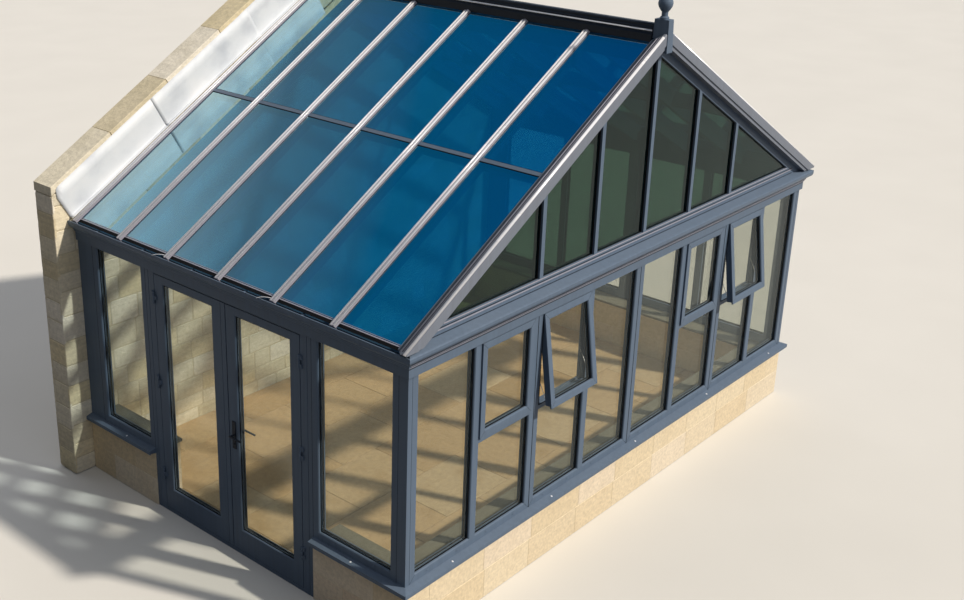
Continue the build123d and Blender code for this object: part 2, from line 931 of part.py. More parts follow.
# Verge cappings: a raised nosing, a barge face and a stepped lower edge
with BuildPart() as left_verge:
    with BuildSketch(slope_section(-far)):
        with BuildLine():
            nosing = verge_projection / 4
            Polyline(
                (verge_cover, seat_gap),
                (verge_cover, nosing / 2),
                (verge_cover - nosing, nosing),
                (nosing - verge_projection + nosing, verge_height - nosing / 2),
                (nosing - verge_projection + nosing / 2, verge_height),
                (nosing / 2 - verge_projection, verge_height),
                (-verge_projection, verge_height - nosing / 2),
                (-verge_projection, -verge_drop / 3),
                (verge_step - verge_projection, -verge_drop / 3 - verge_step / 2),
                (verge_step - verge_projection, -verge_drop),
                (-seat_gap, -verge_drop),
                (-seat_gap, seat_gap),
                close=True,
            )
        make_face()
    extrude(amount=2 * far)
    split(bisect_by=Plane(origin=(left - verge_foot, 0, 0), z_dir=(1, 0, 0)), keep=Keep.TOP)
    split(
        bisect_by=Plane(origin=(-apex_width / 2 - seat_gap, 0, 0), z_dir=(1, 0, 0)),
        keep=Keep.BOTTOM,
    )
    with Locations((left, front, gable_sill + seat_gap)):
        Box(far, far, far, align=(Align.CENTER, Align.MAX, Align.MAX), mode=Mode.SUBTRACT)
    with Locations((eaves_line, front, gable_sill + seat_gap)):
        Box(far, far, far, align=(Align.MAX, Align.CENTER, Align.MAX), mode=Mode.SUBTRACT)

with BuildPart() as verge_cappings:
    add(left_verge.part)
    add(mirrored(left_verge.part))

# Apex block and turned finial, its bulb a stack of short cones
with BuildPart() as apex_block:
    block_bottom = apex_height - apex_drop
    block_depth = apex_front + verge_cover
    with BuildSketch(Plane.XY.offset(block_bottom)):
        with Locations((0, front - apex_front + block_depth / 2)):
            Rectangle(apex_width, block_depth)
    extrude(amount=apex_drop + apex_rise, taper=apex_taper / 2)
    with Locations((0, front - seat_gap, apex_height + 2 * seat_gap)):
        Box(far, far, far, align=(Align.CENTER, Align.MIN, Align.MAX), mode=Mode.SUBTRACT)

finial_centre = (verge_cover - apex_front) / 2
with BuildPart() as finial:
    with BuildSketch(cross_section(finial_centre)):
        with BuildLine():
            base = apex_height + apex_rise
            shoulder = base + 2 * finial_foot_height
            neck_top = shoulder + finial_neck_height
            bulb_top = neck_top + finial_bulb_height
            bead_bottom = bulb_top + finial_neck_height
            bead_top = bead_bottom + finial_bead_height
            bulb = [
                (
                    finial_neck_radius
                    + (finial_bulb_radius - finial_neck_radius) * sin(pi * step / finial_bulb_steps),
                    neck_top + finial_bulb_height * step / finial_bulb_steps,
                )
                for step in range(1, finial_bulb_steps)
            ]
            Polyline(
                (0, base),
                (finial_foot_radius, base),
                (finial_foot_radius, base + finial_foot_height),
                (finial_neck_radius, shoulder),
                (finial_neck_radius, neck_top),
                *bulb,
                (finial_neck_radius, bulb_top),
                (finial_neck_radius, bead_bottom),
                (finial_bead_radius, bead_bottom),
                (finial_bead_radius, bead_top),
                (finial_neck_radius, bead_top),
                (finial_tip_radius, base + finial_height),
                (0, base + finial_height),
                close=True,
            )
        make_face()
    revolve(axis=Axis((0, front + finial_centre, 0), (0, 0, 1)))

# Lead flashing up the stone wall
with BuildPart() as left_flashing:
    flashing_foot = cap_height + seat_gap
    with BuildSketch(slope_section(-lead_start)):
        with Locations((depth - joint_gap, flashing_foot)):
            Rectangle(lead_foot, lead_thickness, align=(Align.MAX, Align.MIN))
            Rectangle(lead_thickness, lead_upstand, align=(Align.MAX, Align.MIN))
    extrude(amount=far)
    split(bisect_by=Plane(origin=(-joint_gap, 0, 0), z_dir=(1, 0, 0)), keep=Keep.BOTTOM)
    with Locations((0, rear - joint_gap - lead_thickness - joint_gap, 0)):
        Box(
            ridge_cap_width + 2 * joint_gap,
            far,
            far,
            align=(Align.CENTER, Align.MAX, Align.CENTER),
            mode=Mode.SUBTRACT,
        )

with BuildPart() as lead_flashings:
    add(left_flashing.part)
    add(mirrored(left_flashing.part))

# Every piece under its own name
pieces = {
    "floor_slab": floor_slab.part,
    "front_dwarf_wall": front_dwarf_wall.part,
    "left_front_dwarf_wall": left_front_dwarf_wall,
    "left_rear_dwarf_wall": left_rear_dwarf_wall,
    "right_dwarf_wall": right_dwarf_wall,
    "back_wall": back_wall.part,
    "front_sill": front_sill.part,
    "side_sills": side_sills.part,
    "window_boards": window_boards.part,
    "posts": posts.part,
    "front_glass": front_glass,
    "closed_vents": closed_vents.part,
    "open_vents": open_vents.part,
    "vent_glass": vent_glass.part,
    "left_light_frames": left_light_frames.part,
    "left_light_glass": left_light_glass,
    "right_frames": right_frames.part,
    "right_glass": right_glass,
    "door_frame": door_frame.part,
    "door_hinges": door_hinges.part,
    "left_door_leaf": left_door_leaf,
    "left_door_glass": left_door_glass,
    "right_door_leaf": right_door_leaf,
    "right_door_glass": right_door_glass,
    "door_handles": door_handles.part,
    "left_eaves_beam": left_eaves_beam.part,
    "right_eaves_beam": right_eaves_beam,
    "gable_beam": gable_beam.part,
    "gable_frame": gable_frame.part,
    "gable_glass": gable_glass.part,
    "left_roof_bars": left_roof_bars.part,
    "right_roof_bars": right_roof_bars,
    "bar_caps": bar_caps.part,
    "left_roof_glass": left_roof_glass.part,
    "right_roof_glass": right_roof_glass,
    "ridge_beam": ridge_beam.part,
    "ridge_capping": ridge_capping.part,
    "verge_cappings": verge_cappings.part,
    "apex_block": apex_block.part,
    "finial": finial.part,
    "lead_flashings": lead_flashings.part,
}
for number, frame in enumerate(front_frames, start=1):
    pieces[f"front_frame_{number}"] = frame

os.makedirs("parts", exist_ok=True)
for name, part in pieces.items():
    part.label = name
    export_step(part, f"parts/{name}.step")
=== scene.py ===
# %% [markdown]
# A gable-fronted conservatory, dressed over its CAD frame
#
# The CAD model brings every frame, beam, bar, pane and wall at its real size. This notebook adds
# what the eye expects on top: powder coat, coloured glass, rubber seals, stonework, sheet lead and
# small fittings. It begins by loading the frame and noting its box, because nothing that is added
# may reach outside it.

import math
import random

import bmesh
import bpy
from mathutils import Matrix, Vector


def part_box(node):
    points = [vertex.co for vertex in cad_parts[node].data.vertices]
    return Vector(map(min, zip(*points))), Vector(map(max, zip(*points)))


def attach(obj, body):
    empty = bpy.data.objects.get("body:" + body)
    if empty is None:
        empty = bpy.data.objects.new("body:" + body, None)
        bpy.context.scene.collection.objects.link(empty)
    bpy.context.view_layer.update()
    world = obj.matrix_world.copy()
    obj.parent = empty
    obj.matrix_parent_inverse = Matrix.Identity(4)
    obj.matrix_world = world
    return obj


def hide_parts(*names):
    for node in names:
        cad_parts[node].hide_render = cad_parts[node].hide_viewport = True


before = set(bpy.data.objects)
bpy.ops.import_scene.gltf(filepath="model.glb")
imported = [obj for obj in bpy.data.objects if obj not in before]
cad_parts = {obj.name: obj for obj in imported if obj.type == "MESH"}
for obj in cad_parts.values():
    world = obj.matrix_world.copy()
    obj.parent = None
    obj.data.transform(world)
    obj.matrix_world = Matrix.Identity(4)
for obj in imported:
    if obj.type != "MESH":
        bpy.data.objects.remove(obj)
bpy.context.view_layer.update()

# %% [markdown]
# Measures. A fitter works from the faces of the posts and from the sill, so the script does too.
# The faces are read from the CAD nodes, and the sizes that a box can't tell are written here once,
# in metres.

# %% Read the faces and name the sizes
MM = 0.001
posts_low, posts_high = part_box("posts")
LEFT, FRONT, SILL_TOP = posts_low
RIGHT, REAR, FRAME_TOP = posts_high
WIDTH = RIGHT - LEFT
DEPTH = REAR - FRONT
POST_FACE = 42 * MM
POST_SIDE = 82 * MM
REAR_POST = 194 * MM
UNIT = (WIDTH - 2 * POST_FACE) / 4
FRAME_FACE = 61 * MM
MULLION = 75 * MM
TRANSOM = 48 * MM
SETBACK = 22 * MM
GLASS = 28 * MM
FRAME_DEPTH = 70 * MM
VENT_HEIGHT = 723 * MM
VENT_ANGLE = math.radians(8.4)
SASH_FACE = 57 * MM
SASH_LAP = 8 * MM
SASH_PROUD = 14 * MM
print(f"plan {WIDTH:.3f} x {DEPTH:.3f} m, sill at {SILL_TOP:.3f} m, head at {FRAME_TOP:.3f} m")


# %% [markdown]
# Each face of the building gets a small function that turns "so far along, so far out, so high"
# into a point. Seals and stones are then made the same way on every side, and only the function
# changes.

# %% Points on the four faces and on the roof
ROOF_PITCH = math.radians(30)
EAVES_REACH = 42 * MM
EAVES_RISE = 145 * MM
GABLE_SILL_RISE = 160 * MM
EAVES = WIDTH / 2 + EAVES_REACH
EAVES_HEIGHT = FRAME_TOP + EAVES_RISE
APEX = EAVES_HEIGHT + EAVES * math.tan(ROOF_PITCH)
SLOPE_LENGTH = EAVES / math.cos(ROOF_PITCH)
GABLE_SILL = FRAME_TOP + GABLE_SILL_RISE
wall_low, wall_high = (Vector(corner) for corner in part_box("back_wall"))


def on_front(along, out, up):
    """From the left post towards the right, seen from the front."""
    return Vector((LEFT + along, FRONT - out, up))


def on_left(along, out, up):
    """From the stone wall towards the front corner."""
    return Vector((LEFT - out, REAR - along, up))


def on_right(along, out, up):
    """From the front corner towards the stone wall."""
    return Vector((RIGHT + out, FRONT + along, up))


def on_wall(along, out, up):
    """The room side of the stone wall, from its left end."""
    return Vector((wall_low.x + along, REAR - out, up))


def on_slope(side):
    """A point on a roof slope: back from the front, above the glass, and up from its lower edge."""
    lean = Vector((-side * math.cos(ROOF_PITCH), 0, math.sin(ROOF_PITCH)))
    outward = Vector((side * math.sin(ROOF_PITCH), 0, math.cos(ROOF_PITCH)))
    foot = Vector((side * EAVES, FRONT, EAVES_HEIGHT))

    def on_this_slope(back, out, climb):
        return foot + Vector((0, back, 0)) + outward * out + lean * climb

    return on_this_slope


print(f"roof glass runs {SLOPE_LENGTH:.3f} m up each slope to {APEX:.3f} m")

# %% [markdown]
# Colours are written as the hex codes a paint chart would give. Blender shades in linear light, so
# one function makes the change. A second one adds a shader node with its settings and its links in
# a single line, which keeps the materials short enough to read. Two more start a material and give
# a colour ramp its stops.

# %% Four helpers for every material
def hex_colour(code):
    """An sRGB hex code as linear red, green, blue and alpha."""
    parts = [int(code[place:place + 2], 16) / 255 for place in (1, 3, 5)]
    linear = [
        part / 12.92 if part <= 0.04045 else ((part + 0.055) / 1.055) ** 2.4 for part in parts
    ]
    return (*linear, 1)


def add_node(tree, kind, links=None, **settings):
    """A new node with its settings, and its inputs set to values or joined to other nodes."""
    made = tree.nodes.new(kind)
    for name, value in settings.items():
        setattr(made, name, value)
    for name, value in (links or {}).items():
        if isinstance(value, bpy.types.NodeSocket):
            tree.links.new(value, made.inputs[name])
        else:
            made.inputs[name].default_value = value
    return made


def new_material(name):
    """An empty node material, its tree, its output and the place on the object in metres."""
    material = bpy.data.materials.new(name)
    material.use_nodes = True
    tree = material.node_tree
    tree.nodes.clear()
    output = add_node(tree, "ShaderNodeOutputMaterial")
    place = add_node(tree, "ShaderNodeTexCoord").outputs["Object"]
    return material, tree, output, place


def set_stops(ramp, *stops):
    """Gives a colour ramp its stops, each a position and a hex code."""
    elements = ramp.color_ramp.elements
    while len(elements) < len(stops):
        elements.new(0.5)
    for element, (position, code) in zip(elements, stops):
        element.position = position
        element.color = hex_colour(code)


print("white paint in linear light:", [round(part, 3) for part in hex_colour("#f2f2f2")[:3]])

# %% [markdown]
# Polyester powder coat on aluminium. The sections are sprayed with dry powder and baked, so the
# surface is a satin skin with a faint orange peel. Real peel is 2 to 3 mm across, too fine for this
# view, so it is drawn 9 mm wide and kept shallow. Dust settles on faces that look up, and rain
# leaves long thin runs down the rest. Both only shift colour and roughness a little.

# %% Powder-coated aluminium
PEEL = 9 * MM
RUN_WIDTH = 30 * MM
DUST_CLOUD = 350 * MM


def shaded(code, factor):
    """A hex code made darker or lighter by a factor."""
    parts = [min(255, round(int(code[place:place + 2], 16) * factor)) for place in (1, 3, 5)]
    return "#" + "".join(f"{part:02x}" for part in parts)


def powder_coat(name, code, dust_code, roughness, dust_share):
    """Satin powder coat with peel, dust on top and rain runs."""
    material, tree, output, place = new_material(name)
    peel = add_node(
        tree, "ShaderNodeTexNoise", {"Vector": place, "Scale": 1 / PEEL, "Detail": 2.0}
    )
    stretch = add_node(
        tree, "ShaderNodeMapping", {"Vector": place, "Scale": (1 / RUN_WIDTH, 1 / RUN_WIDTH, 1.2)}
    )
    runs = add_node(
        tree, "ShaderNodeTexNoise",
        {"Vector": stretch.outputs["Vector"], "Scale": 1.0, "Detail": 3.0},
    )
    cloud = add_node(
        tree, "ShaderNodeTexNoise", {"Vector": place, "Scale": 1 / DUST_CLOUD, "Detail": 4.0}
    )
    normal = add_node(tree, "ShaderNodeNewGeometry").outputs["Normal"]
    facing = add_node(tree, "ShaderNodeSeparateXYZ", {"Vector": normal})
    upward = add_node(
        tree, "ShaderNodeMapRange",
        {"Value": facing.outputs["Z"], "From Min": 0.35, "From Max": 1.0, "To Max": dust_share},
    )
    settled = add_node(
        tree, "ShaderNodeMath",
        {0: upward.outputs["Result"], 1: cloud.outputs["Fac"]}, operation="MULTIPLY",
    )
    paint = add_node(tree, "ShaderNodeValToRGB", {"Fac": runs.outputs["Fac"]})
    set_stops(paint, (0.35, shaded(code, 0.975)), (0.68, shaded(code, 1.02)))
    dusty = add_node(
        tree, "ShaderNodeMix",
        {"Factor": settled.outputs["Value"], "A": paint.outputs["Color"],
         "B": hex_colour(dust_code)},
        data_type="RGBA",
    )
    sheen = add_node(
        tree, "ShaderNodeMapRange",
        {"Value": runs.outputs["Fac"], "From Min": 0.3, "From Max": 0.7,
         "To Min": roughness - 0.05, "To Max": roughness + 0.08},
    )
    bump = add_node(
        tree, "ShaderNodeBump",
        {"Height": peel.outputs["Fac"], "Strength": 0.12, "Distance": 0.4 * MM},
    )
    coat = add_node(
        tree, "ShaderNodeBsdfPrincipled",
        {"Base Color": dusty.outputs["Result"], "Roughness": sheen.outputs["Result"],
         "Normal": bump.outputs["Normal"], "IOR": 1.5, "Specular IOR Level": 0.10},
    )
    tree.links.new(coat.outputs["BSDF"], output.inputs["Surface"])
    return material


anthracite = powder_coat("anthracite_powder_coated_aluminium", "#607083", "#868d97", 0.38, 0.22)
# The black coat is the real colour of the door handles and the lock parts. On the ridge capping,
# the verge grooves and the beam's quirks it is painted shade.
black_coat_and_painted_shade = powder_coat("black_powder_coat_and_painted_shade", "#262c35", "#4c5058", 0.34, 0.25)
# The verge coat is the anthracite coat drawn lighter. The extra lightness is a painted sheen: the
# light that the sloping verge catches.
verge_coat_painted_sheen = powder_coat("anthracite_coat_lightened_as_painted_sheen", "#7b818e", "#989ba2", 0.36, 0.22)
# The silver coat is real on the bar caps, the glass channels, the tread and the vent handles. On
# the verge ribs and the beam's arris lines it is painted highlight.
silver_and_painted_highlight = powder_coat("silver_powder_coat_and_painted_highlight", "#9d9ca9", "#b3b2b8", 0.30, 0.25)
print("powder coats:", anthracite.name, black_coat_and_painted_shade.name, verge_coat_painted_sheen.name, silver_and_painted_highlight.name)

# %% [markdown]
# Float glass in sealed units. A clear unit passes about seven tenths of the light, with a faint
# green from iron in the melt, and mirrors more the flatter one looks along it. The gable's units
# get a darker green tint, which is a painted reflection of green ground in front of the gable. The
# roof glass has a blue solar coating that mirrors half of the sky and gives the rest a blue tint. A
# Transparent shader carries the tint without bending the view, and a Glossy one carries the mirror
# image. Layer Weight's Facing decides how much of each is seen: raised to the fifth power, it
# follows the curve of real glass. Lamp rays pass a paler tint, so that the room behind the panes is
# as bright as a glass room is. The faint waves of the rolled sheet, 420 mm apart, bend the mirror
# image a little.

# %% Clear and blue sealed glass
ROLLER_WAVE = 420 * MM


def ray_share(tree):
    """One for rays that look at a thing directly, in a mirror or through glass, else nothing."""
    rays = add_node(tree, "ShaderNodeLightPath")
    either = add_node(
        tree, "ShaderNodeMath",
        {0: rays.outputs["Is Camera Ray"], 1: rays.outputs["Is Glossy Ray"]}, operation="MAXIMUM",
    )
    all_three = add_node(
        tree, "ShaderNodeMath",
        {0: either.outputs["Value"], 1: rays.outputs["Is Transmission Ray"]}, operation="MAXIMUM",
    )
    return all_three.outputs["Value"]


def sealed_glass(name, tint, mirror_tint, least_mirror, light_tint="#f6f7f6"):
    """Glass that passes its tint and mirrors more at a flat angle, never less than least_mirror."""
    material, tree, output, place = new_material(name)
    waver = add_node(
        tree, "ShaderNodeTexNoise", {"Vector": place, "Scale": 1 / ROLLER_WAVE, "Detail": 1.0}
    )
    roll = add_node(
        tree, "ShaderNodeBump",
        {"Height": waver.outputs["Fac"], "Strength": 0.25, "Distance": 2.5 * MM},
    )
    weight = add_node(
        tree, "ShaderNodeLayerWeight", {"Blend": 0.5, "Normal": roll.outputs["Normal"]}
    )
    edge_on = add_node(
        tree, "ShaderNodeMath", {0: weight.outputs["Facing"], 1: 5.0}, operation="POWER"
    )
    share = add_node(
        tree, "ShaderNodeMapRange",
        {"Value": edge_on.outputs["Value"], "To Min": least_mirror, "To Max": 1.0},
    )
    through = add_node(tree, "ShaderNodeBsdfTransparent", {"Color": hex_colour(tint)})
    mirror = add_node(
        tree, "ShaderNodeBsdfAnisotropic",
        {"Color": hex_colour(mirror_tint), "Roughness": 0.02, "Normal": roll.outputs["Normal"]},
    )
    pane = add_node(
        tree, "ShaderNodeMixShader",
        {0: share.outputs["Result"], 1: through.outputs["BSDF"], 2: mirror.outputs["BSDF"]},
    )
    daylight = add_node(tree, "ShaderNodeBsdfTransparent", {"Color": hex_colour(light_tint)})
    either = add_node(
        tree, "ShaderNodeMixShader",
        {0: ray_share(tree), 1: daylight.outputs["BSDF"], 2: pane.outputs["Shader"]},
    )
    tree.links.new(either.outputs["Shader"], output.inputs["Surface"])
    return material


clear_glass = sealed_glass("clear_sealed_float_glass", "#ebece8", "#dfe9ea", 0.04)
# The gable's darker green tint is a painted reflection of green ground.
gable_glass = sealed_glass("sealed_glass_with_painted_green_reflection", "#7c978b", "#c4d6d6", 0.05)
blue_glass = sealed_glass("blue_coated_solar_glass", "#5fb4d8", "#cbf1f9", 0.50, "#dfe6ea")
print("glass:", clear_glass.name, gable_glass.name, blue_glass.name)

# %% [markdown]
# Small materials. The seals are EPDM rubber, extruded and left matt, with a slight bloom of pale
# dust. The vent stays and the screws at the bar ends are stainless steel, brushed in one
# direction, which stretches their highlights. The beads of the cappings, the spring clips and the
# caps of the sill screws are aluminium, drawn nearly white and hardly metallic: their colour is
# partly the metal and partly a painted highlight of the sun. One noise each is enough to stop them
# looking like flat colour.

# %% Rubber, steel and sheet metal
def fine_surface(
    name, low_code, high_code, grain, roughness, metallic=0.0, relief=0.2 * MM,
    stretched=(1, 1, 1), shine=0.5,
):
    """A surface whose colour, roughness and relief follow one grain of the size given."""
    material, tree, output, place = new_material(name)
    lie = add_node(tree, "ShaderNodeMapping", {"Vector": place, "Scale": stretched})
    speck = add_node(
        tree, "ShaderNodeTexNoise",
        {"Vector": lie.outputs["Vector"], "Scale": 1 / grain, "Detail": 4.0},
    )
    colour = add_node(tree, "ShaderNodeValToRGB", {"Fac": speck.outputs["Fac"]})
    set_stops(colour, (0.3, low_code), (0.7, high_code))
    sheen = add_node(
        tree, "ShaderNodeMapRange",
        {"Value": speck.outputs["Fac"], "From Min": 0.3, "From Max": 0.7,
         "To Min": roughness - 0.06, "To Max": roughness + 0.08},
    )
    bump = add_node(
        tree, "ShaderNodeBump",
        {"Height": speck.outputs["Fac"], "Strength": 0.3, "Distance": relief},
    )
    surface = add_node(
        tree, "ShaderNodeBsdfPrincipled",
        {"Base Color": colour.outputs["Color"], "Roughness": sheen.outputs["Result"],
         "Metallic": metallic, "Normal": bump.outputs["Normal"], "Specular IOR Level": shine},
    )
    tree.links.new(surface.outputs["BSDF"], output.inputs["Surface"])
    return material


rubber = fine_surface(
    "extruded_epdm_rubber", "#0a0a0b", "#161617", 14 * MM, 0.75, shine=0.12
)
steel = fine_surface(
    "brushed_stainless_steel", "#a9abad", "#c9cbcc", 6 * MM, 0.28, 1.0, 0.05 * MM, (1, 1, 0.12)
)
# Near black, for the painted shadow in the narrow joints and mitres of the frames.
shadow_gap = fine_surface("painted_shadow_line", "#070708", "#101113", 20 * MM, 0.85, shine=0.1)
white_aluminium_and_painted_highlight = fine_surface(
    "aluminium_drawn_white_as_painted_highlight", "#f0f0f5", "#f9f9fc", 220 * MM, 0.24, 0.15, 0.0
)
print("small materials:", rubber.name, steel.name, shadow_gap.name, white_aluminium_and_painted_highlight.name)

# %% [markdown]
# Stone. Each block comes from its own bed in the quarry, so neighbours differ in colour as well as
# in grain. The blocks are made one by one further down, and each is given random numbers in a
# colour attribute called tone. The material reads the first of them to choose the block's colour,
# and lays the grain, the bedding and the weather stains over it.

# %% Stone that varies from block to block
BED = 22 * MM
STAIN_PATCH = 260 * MM


def block_stone(name, codes, grain, relief, stain_code, stain_share, bedding=0.0):
    """Stone with one colour a block from the tone attribute, grain, bedding and stains."""
    material, tree, output, place = new_material(name)
    tone = add_node(tree, "ShaderNodeAttribute", attribute_name="tone")
    tones = add_node(tree, "ShaderNodeSeparateColor", {"Color": tone.outputs["Color"]})
    pick = add_node(tree, "ShaderNodeValToRGB", {"Fac": tones.outputs["Red"]})
    set_stops(pick, *[(number / (len(codes) - 1), code) for number, code in enumerate(codes)])
    grains = add_node(
        tree, "ShaderNodeTexNoise",
        {"Vector": place, "Scale": 1 / grain, "Detail": 6.0, "Roughness": 0.62},
    )
    lie = add_node(
        tree, "ShaderNodeMapping", {"Vector": place, "Scale": (2.2, 2.2, 1 / BED)}
    )
    beds = add_node(
        tree, "ShaderNodeTexNoise", {"Vector": lie.outputs["Vector"], "Scale": 1.0, "Detail": 3.0}
    )
    patches = add_node(
        tree, "ShaderNodeTexNoise", {"Vector": place, "Scale": 1 / STAIN_PATCH, "Detail": 5.0}
    )
    shade = add_node(
        tree, "ShaderNodeMapRange",
        {"Value": grains.outputs["Fac"], "From Min": 0.25, "From Max": 0.75,
         "To Min": 0.80, "To Max": 1.12},
    )
    bedded = add_node(
        tree, "ShaderNodeMapRange",
        {"Value": beds.outputs["Fac"], "From Min": 0.35, "From Max": 0.65,
         "To Min": 1.0 - bedding, "To Max": 1.0 + bedding / 2},
    )
    strength = add_node(
        tree, "ShaderNodeMath",
        {0: shade.outputs["Result"], 1: bedded.outputs["Result"]}, operation="MULTIPLY",
    )
    grey = add_node(
        tree, "ShaderNodeCombineColor",
        {"Red": strength.outputs["Value"], "Green": strength.outputs["Value"],
         "Blue": strength.outputs["Value"]},
    )
    grained = add_node(
        tree, "ShaderNodeMix",
        {"Factor": 1.0, "A": pick.outputs["Color"], "B": grey.outputs["Color"]},
        data_type="RGBA", blend_type="MULTIPLY",
    )
    stain = add_node(
        tree, "ShaderNodeMapRange",
        {"Value": patches.outputs["Fac"], "From Min": 0.52, "From Max": 0.74,
         "To Max": stain_share},
    )
    stained = add_node(
        tree, "ShaderNodeMix",
        {"Factor": stain.outputs["Result"], "A": grained.outputs["Result"],
         "B": hex_colour(stain_code)},
        data_type="RGBA",
    )
    bump = add_node(
        tree, "ShaderNodeBump",
        {"Height": grains.outputs["Fac"], "Strength": 0.7, "Distance": relief},
    )
    stone = add_node(
        tree, "ShaderNodeBsdfPrincipled",
        {"Base Color": stained.outputs["Result"], "Roughness": 0.88,
         "Normal": bump.outputs["Normal"], "Specular IOR Level": 0.3},
    )
    tree.links.new(stone.outputs["BSDF"], output.inputs["Surface"])
    return material


sandstone = block_stone(
    "sawn_cream_sandstone", ("#ead6b4", "#f0dfc0", "#e7d2ad", "#f3e5cd", "#ecd7bb"),
    26 * MM, 1.5 * MM, "#d3bf9d", 0.30, 0.03,
)
limestone = block_stone(
    "pitch_faced_limestone",
    ("#e8dcbf", "#f1e8d2", "#e0d3b4", "#f6eedd", "#ecdcb4", "#dbcfb4"),
    34 * MM, 7 * MM, "#bcb08f", 0.36, 0.08,
)
flags = block_stone(
    "honed_limestone_flags", ("#cfb084", "#d7b98f", "#c5a577", "#dcc39d"),
    45 * MM, 0.5 * MM, "#b39365", 0.45,
)
sill_slab = block_stone(
    "honed_grey_sill_stone", ("#85806f", "#908b7a", "#7c776a", "#989382"),
    30 * MM, 0.4 * MM, "#6b675a", 0.5,
)
mortar = fine_surface("pointed_lime_mortar", "#cabd9f", "#ddd2b8", 12 * MM, 0.9, 0.0, 1.5 * MM)
grout_mix = fine_surface("brushed_cement_grout", "#8b7a5c", "#9c8a69", 9 * MM, 0.9, 0.0, 0.6 * MM)
print("stone:", sandstone.name, limestone.name, flags.name, sill_slab.name, mortar.name)

# %% [markdown]
# Sheet lead goes pale grey within weeks and then nearly white where it carbonates. It is beaten
# over timber with a soft dresser, which leaves dents about 40 mm across. Streaks run down the fall
# of the roof.

# %% Weathered sheet lead
DENT = 40 * MM


def milled_lead(name):
    """Pale patinated lead with dresser dents and white streaks down the slope."""
    material, tree, output, place = new_material(name)
    dents = add_node(
        tree, "ShaderNodeTexNoise", {"Vector": place, "Scale": 1 / DENT, "Detail": 2.0}
    )
    lie = add_node(tree, "ShaderNodeMapping", {"Vector": place, "Scale": (3.0, 26.0, 3.0)})
    streaks = add_node(
        tree, "ShaderNodeTexNoise", {"Vector": lie.outputs["Vector"], "Scale": 1.0, "Detail": 5.0}
    )
    patina = add_node(tree, "ShaderNodeValToRGB", {"Fac": streaks.outputs["Fac"]})
    set_stops(patina, (0.28, "#c9ced6"), (0.48, "#e1e5ea"), (0.70, "#edeff2"))
    bump = add_node(
        tree, "ShaderNodeBump",
        {"Height": dents.outputs["Fac"], "Strength": 0.3, "Distance": 1.2 * MM},
    )
    sheet = add_node(
        tree, "ShaderNodeBsdfPrincipled",
        {"Base Color": patina.outputs["Color"], "Metallic": 0.1, "Roughness": 0.6,
         "Normal": bump.outputs["Normal"]},
    )
    tree.links.new(sheet.outputs["BSDF"], output.inputs["Surface"])
    return material


lead = milled_lead("milled_sheet_lead")
print("lead:", lead.name)

# %% [markdown]
# The CAD nodes keep their shapes. An extruded section never has a razor edge, though: the die
# leaves about a millimetre of radius, and that line of light tells the eye it is metal. A Weld
# modifier joins the split corners of the import, and a Bevel modifier then rounds them.

# %% Dress the CAD nodes
def dress(names, material, round_edge=0.0):
    """Gives CAD nodes their material and, where asked, a small radius on every edge."""
    for name in names:
        node_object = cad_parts[name]
        node_object.data.materials.clear()
        node_object.data.materials.append(material)
        if round_edge:
            weld = node_object.modifiers.new("weld", "WELD")
            weld.merge_threshold = 0.05 * MM
            radius = node_object.modifiers.new("edge_radius", "BEVEL")
            radius.width = round_edge
            radius.segments = 2
            radius.limit_method = "ANGLE"
            radius.angle_limit = math.radians(35)
            radius.harden_normals = True


aluminium_nodes = [
    "front_sill", "side_sills", "posts", "front_frame_1", "front_frame_2", "front_frame_3",
    "front_frame_4", "closed_vents", "open_vents", "left_light_frames", "right_frames",
    "door_frame", "left_door_leaf", "right_door_leaf", "left_eaves_beam", "right_eaves_beam",
    "gable_beam", "gable_frame", "left_roof_bars", "right_roof_bars", "ridge_beam",
    "apex_block", "door_hinges",
]
dress(aluminium_nodes, anthracite, 1.5 * MM)
# The verge cappings take the lightened coat, a painted sheen over the same anthracite.
dress(["verge_cappings"], verge_coat_painted_sheen, 1.5 * MM)
dress(["finial"], anthracite)
# The ridge capping is drawn black: partly its own coat, and partly painted shade on its flanks.
dress(["ridge_capping", "door_handles"], black_coat_and_painted_shade, 1.5 * MM)
dress(["bar_caps"], silver_and_painted_highlight, 1.0 * MM)
dress(["window_boards"], sill_slab, 3 * MM)
dress(
    ["front_glass", "vent_glass", "left_light_glass", "right_glass", "left_door_glass",
     "right_door_glass"],
    clear_glass,
)
dress(["gable_glass"], gable_glass)
dress(["left_roof_glass", "right_roof_glass"], blue_glass)
print("dressed the CAD nodes,", len(aluminium_nodes), "of them in anthracite")


# %% [markdown]
# Every new piece ends the same way: its faces are turned outwards, it becomes an object with a
# material, and it rides on the body that carries it, so that it swings with a door.


def make_piece(shape, name, material, body="building", smooth=False):
    """Turns a bmesh into an object that rides on a body."""
    bmesh.ops.recalc_face_normals(shape, faces=shape.faces)
    mesh = bpy.data.meshes.new(name)
    shape.to_mesh(mesh)
    shape.free()
    mesh.materials.append(material)
    mesh.polygons.foreach_set("use_smooth", [smooth] * len(mesh.polygons))
    piece = bpy.data.objects.new(name, mesh)
    bpy.context.scene.collection.objects.link(piece)
    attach(piece, body)
    mesh.calc_loop_triangles()
    print(f"{name}: {len(mesh.loop_triangles)} triangles")
    return piece


# %% [markdown]
# Almost everything here is made the way a loft is made: rings of points in a row, skinned with
# quads and closed at both ends. One function does that for seals, strips, screws, rods and stones.
# A second one makes a round ring about an axis.

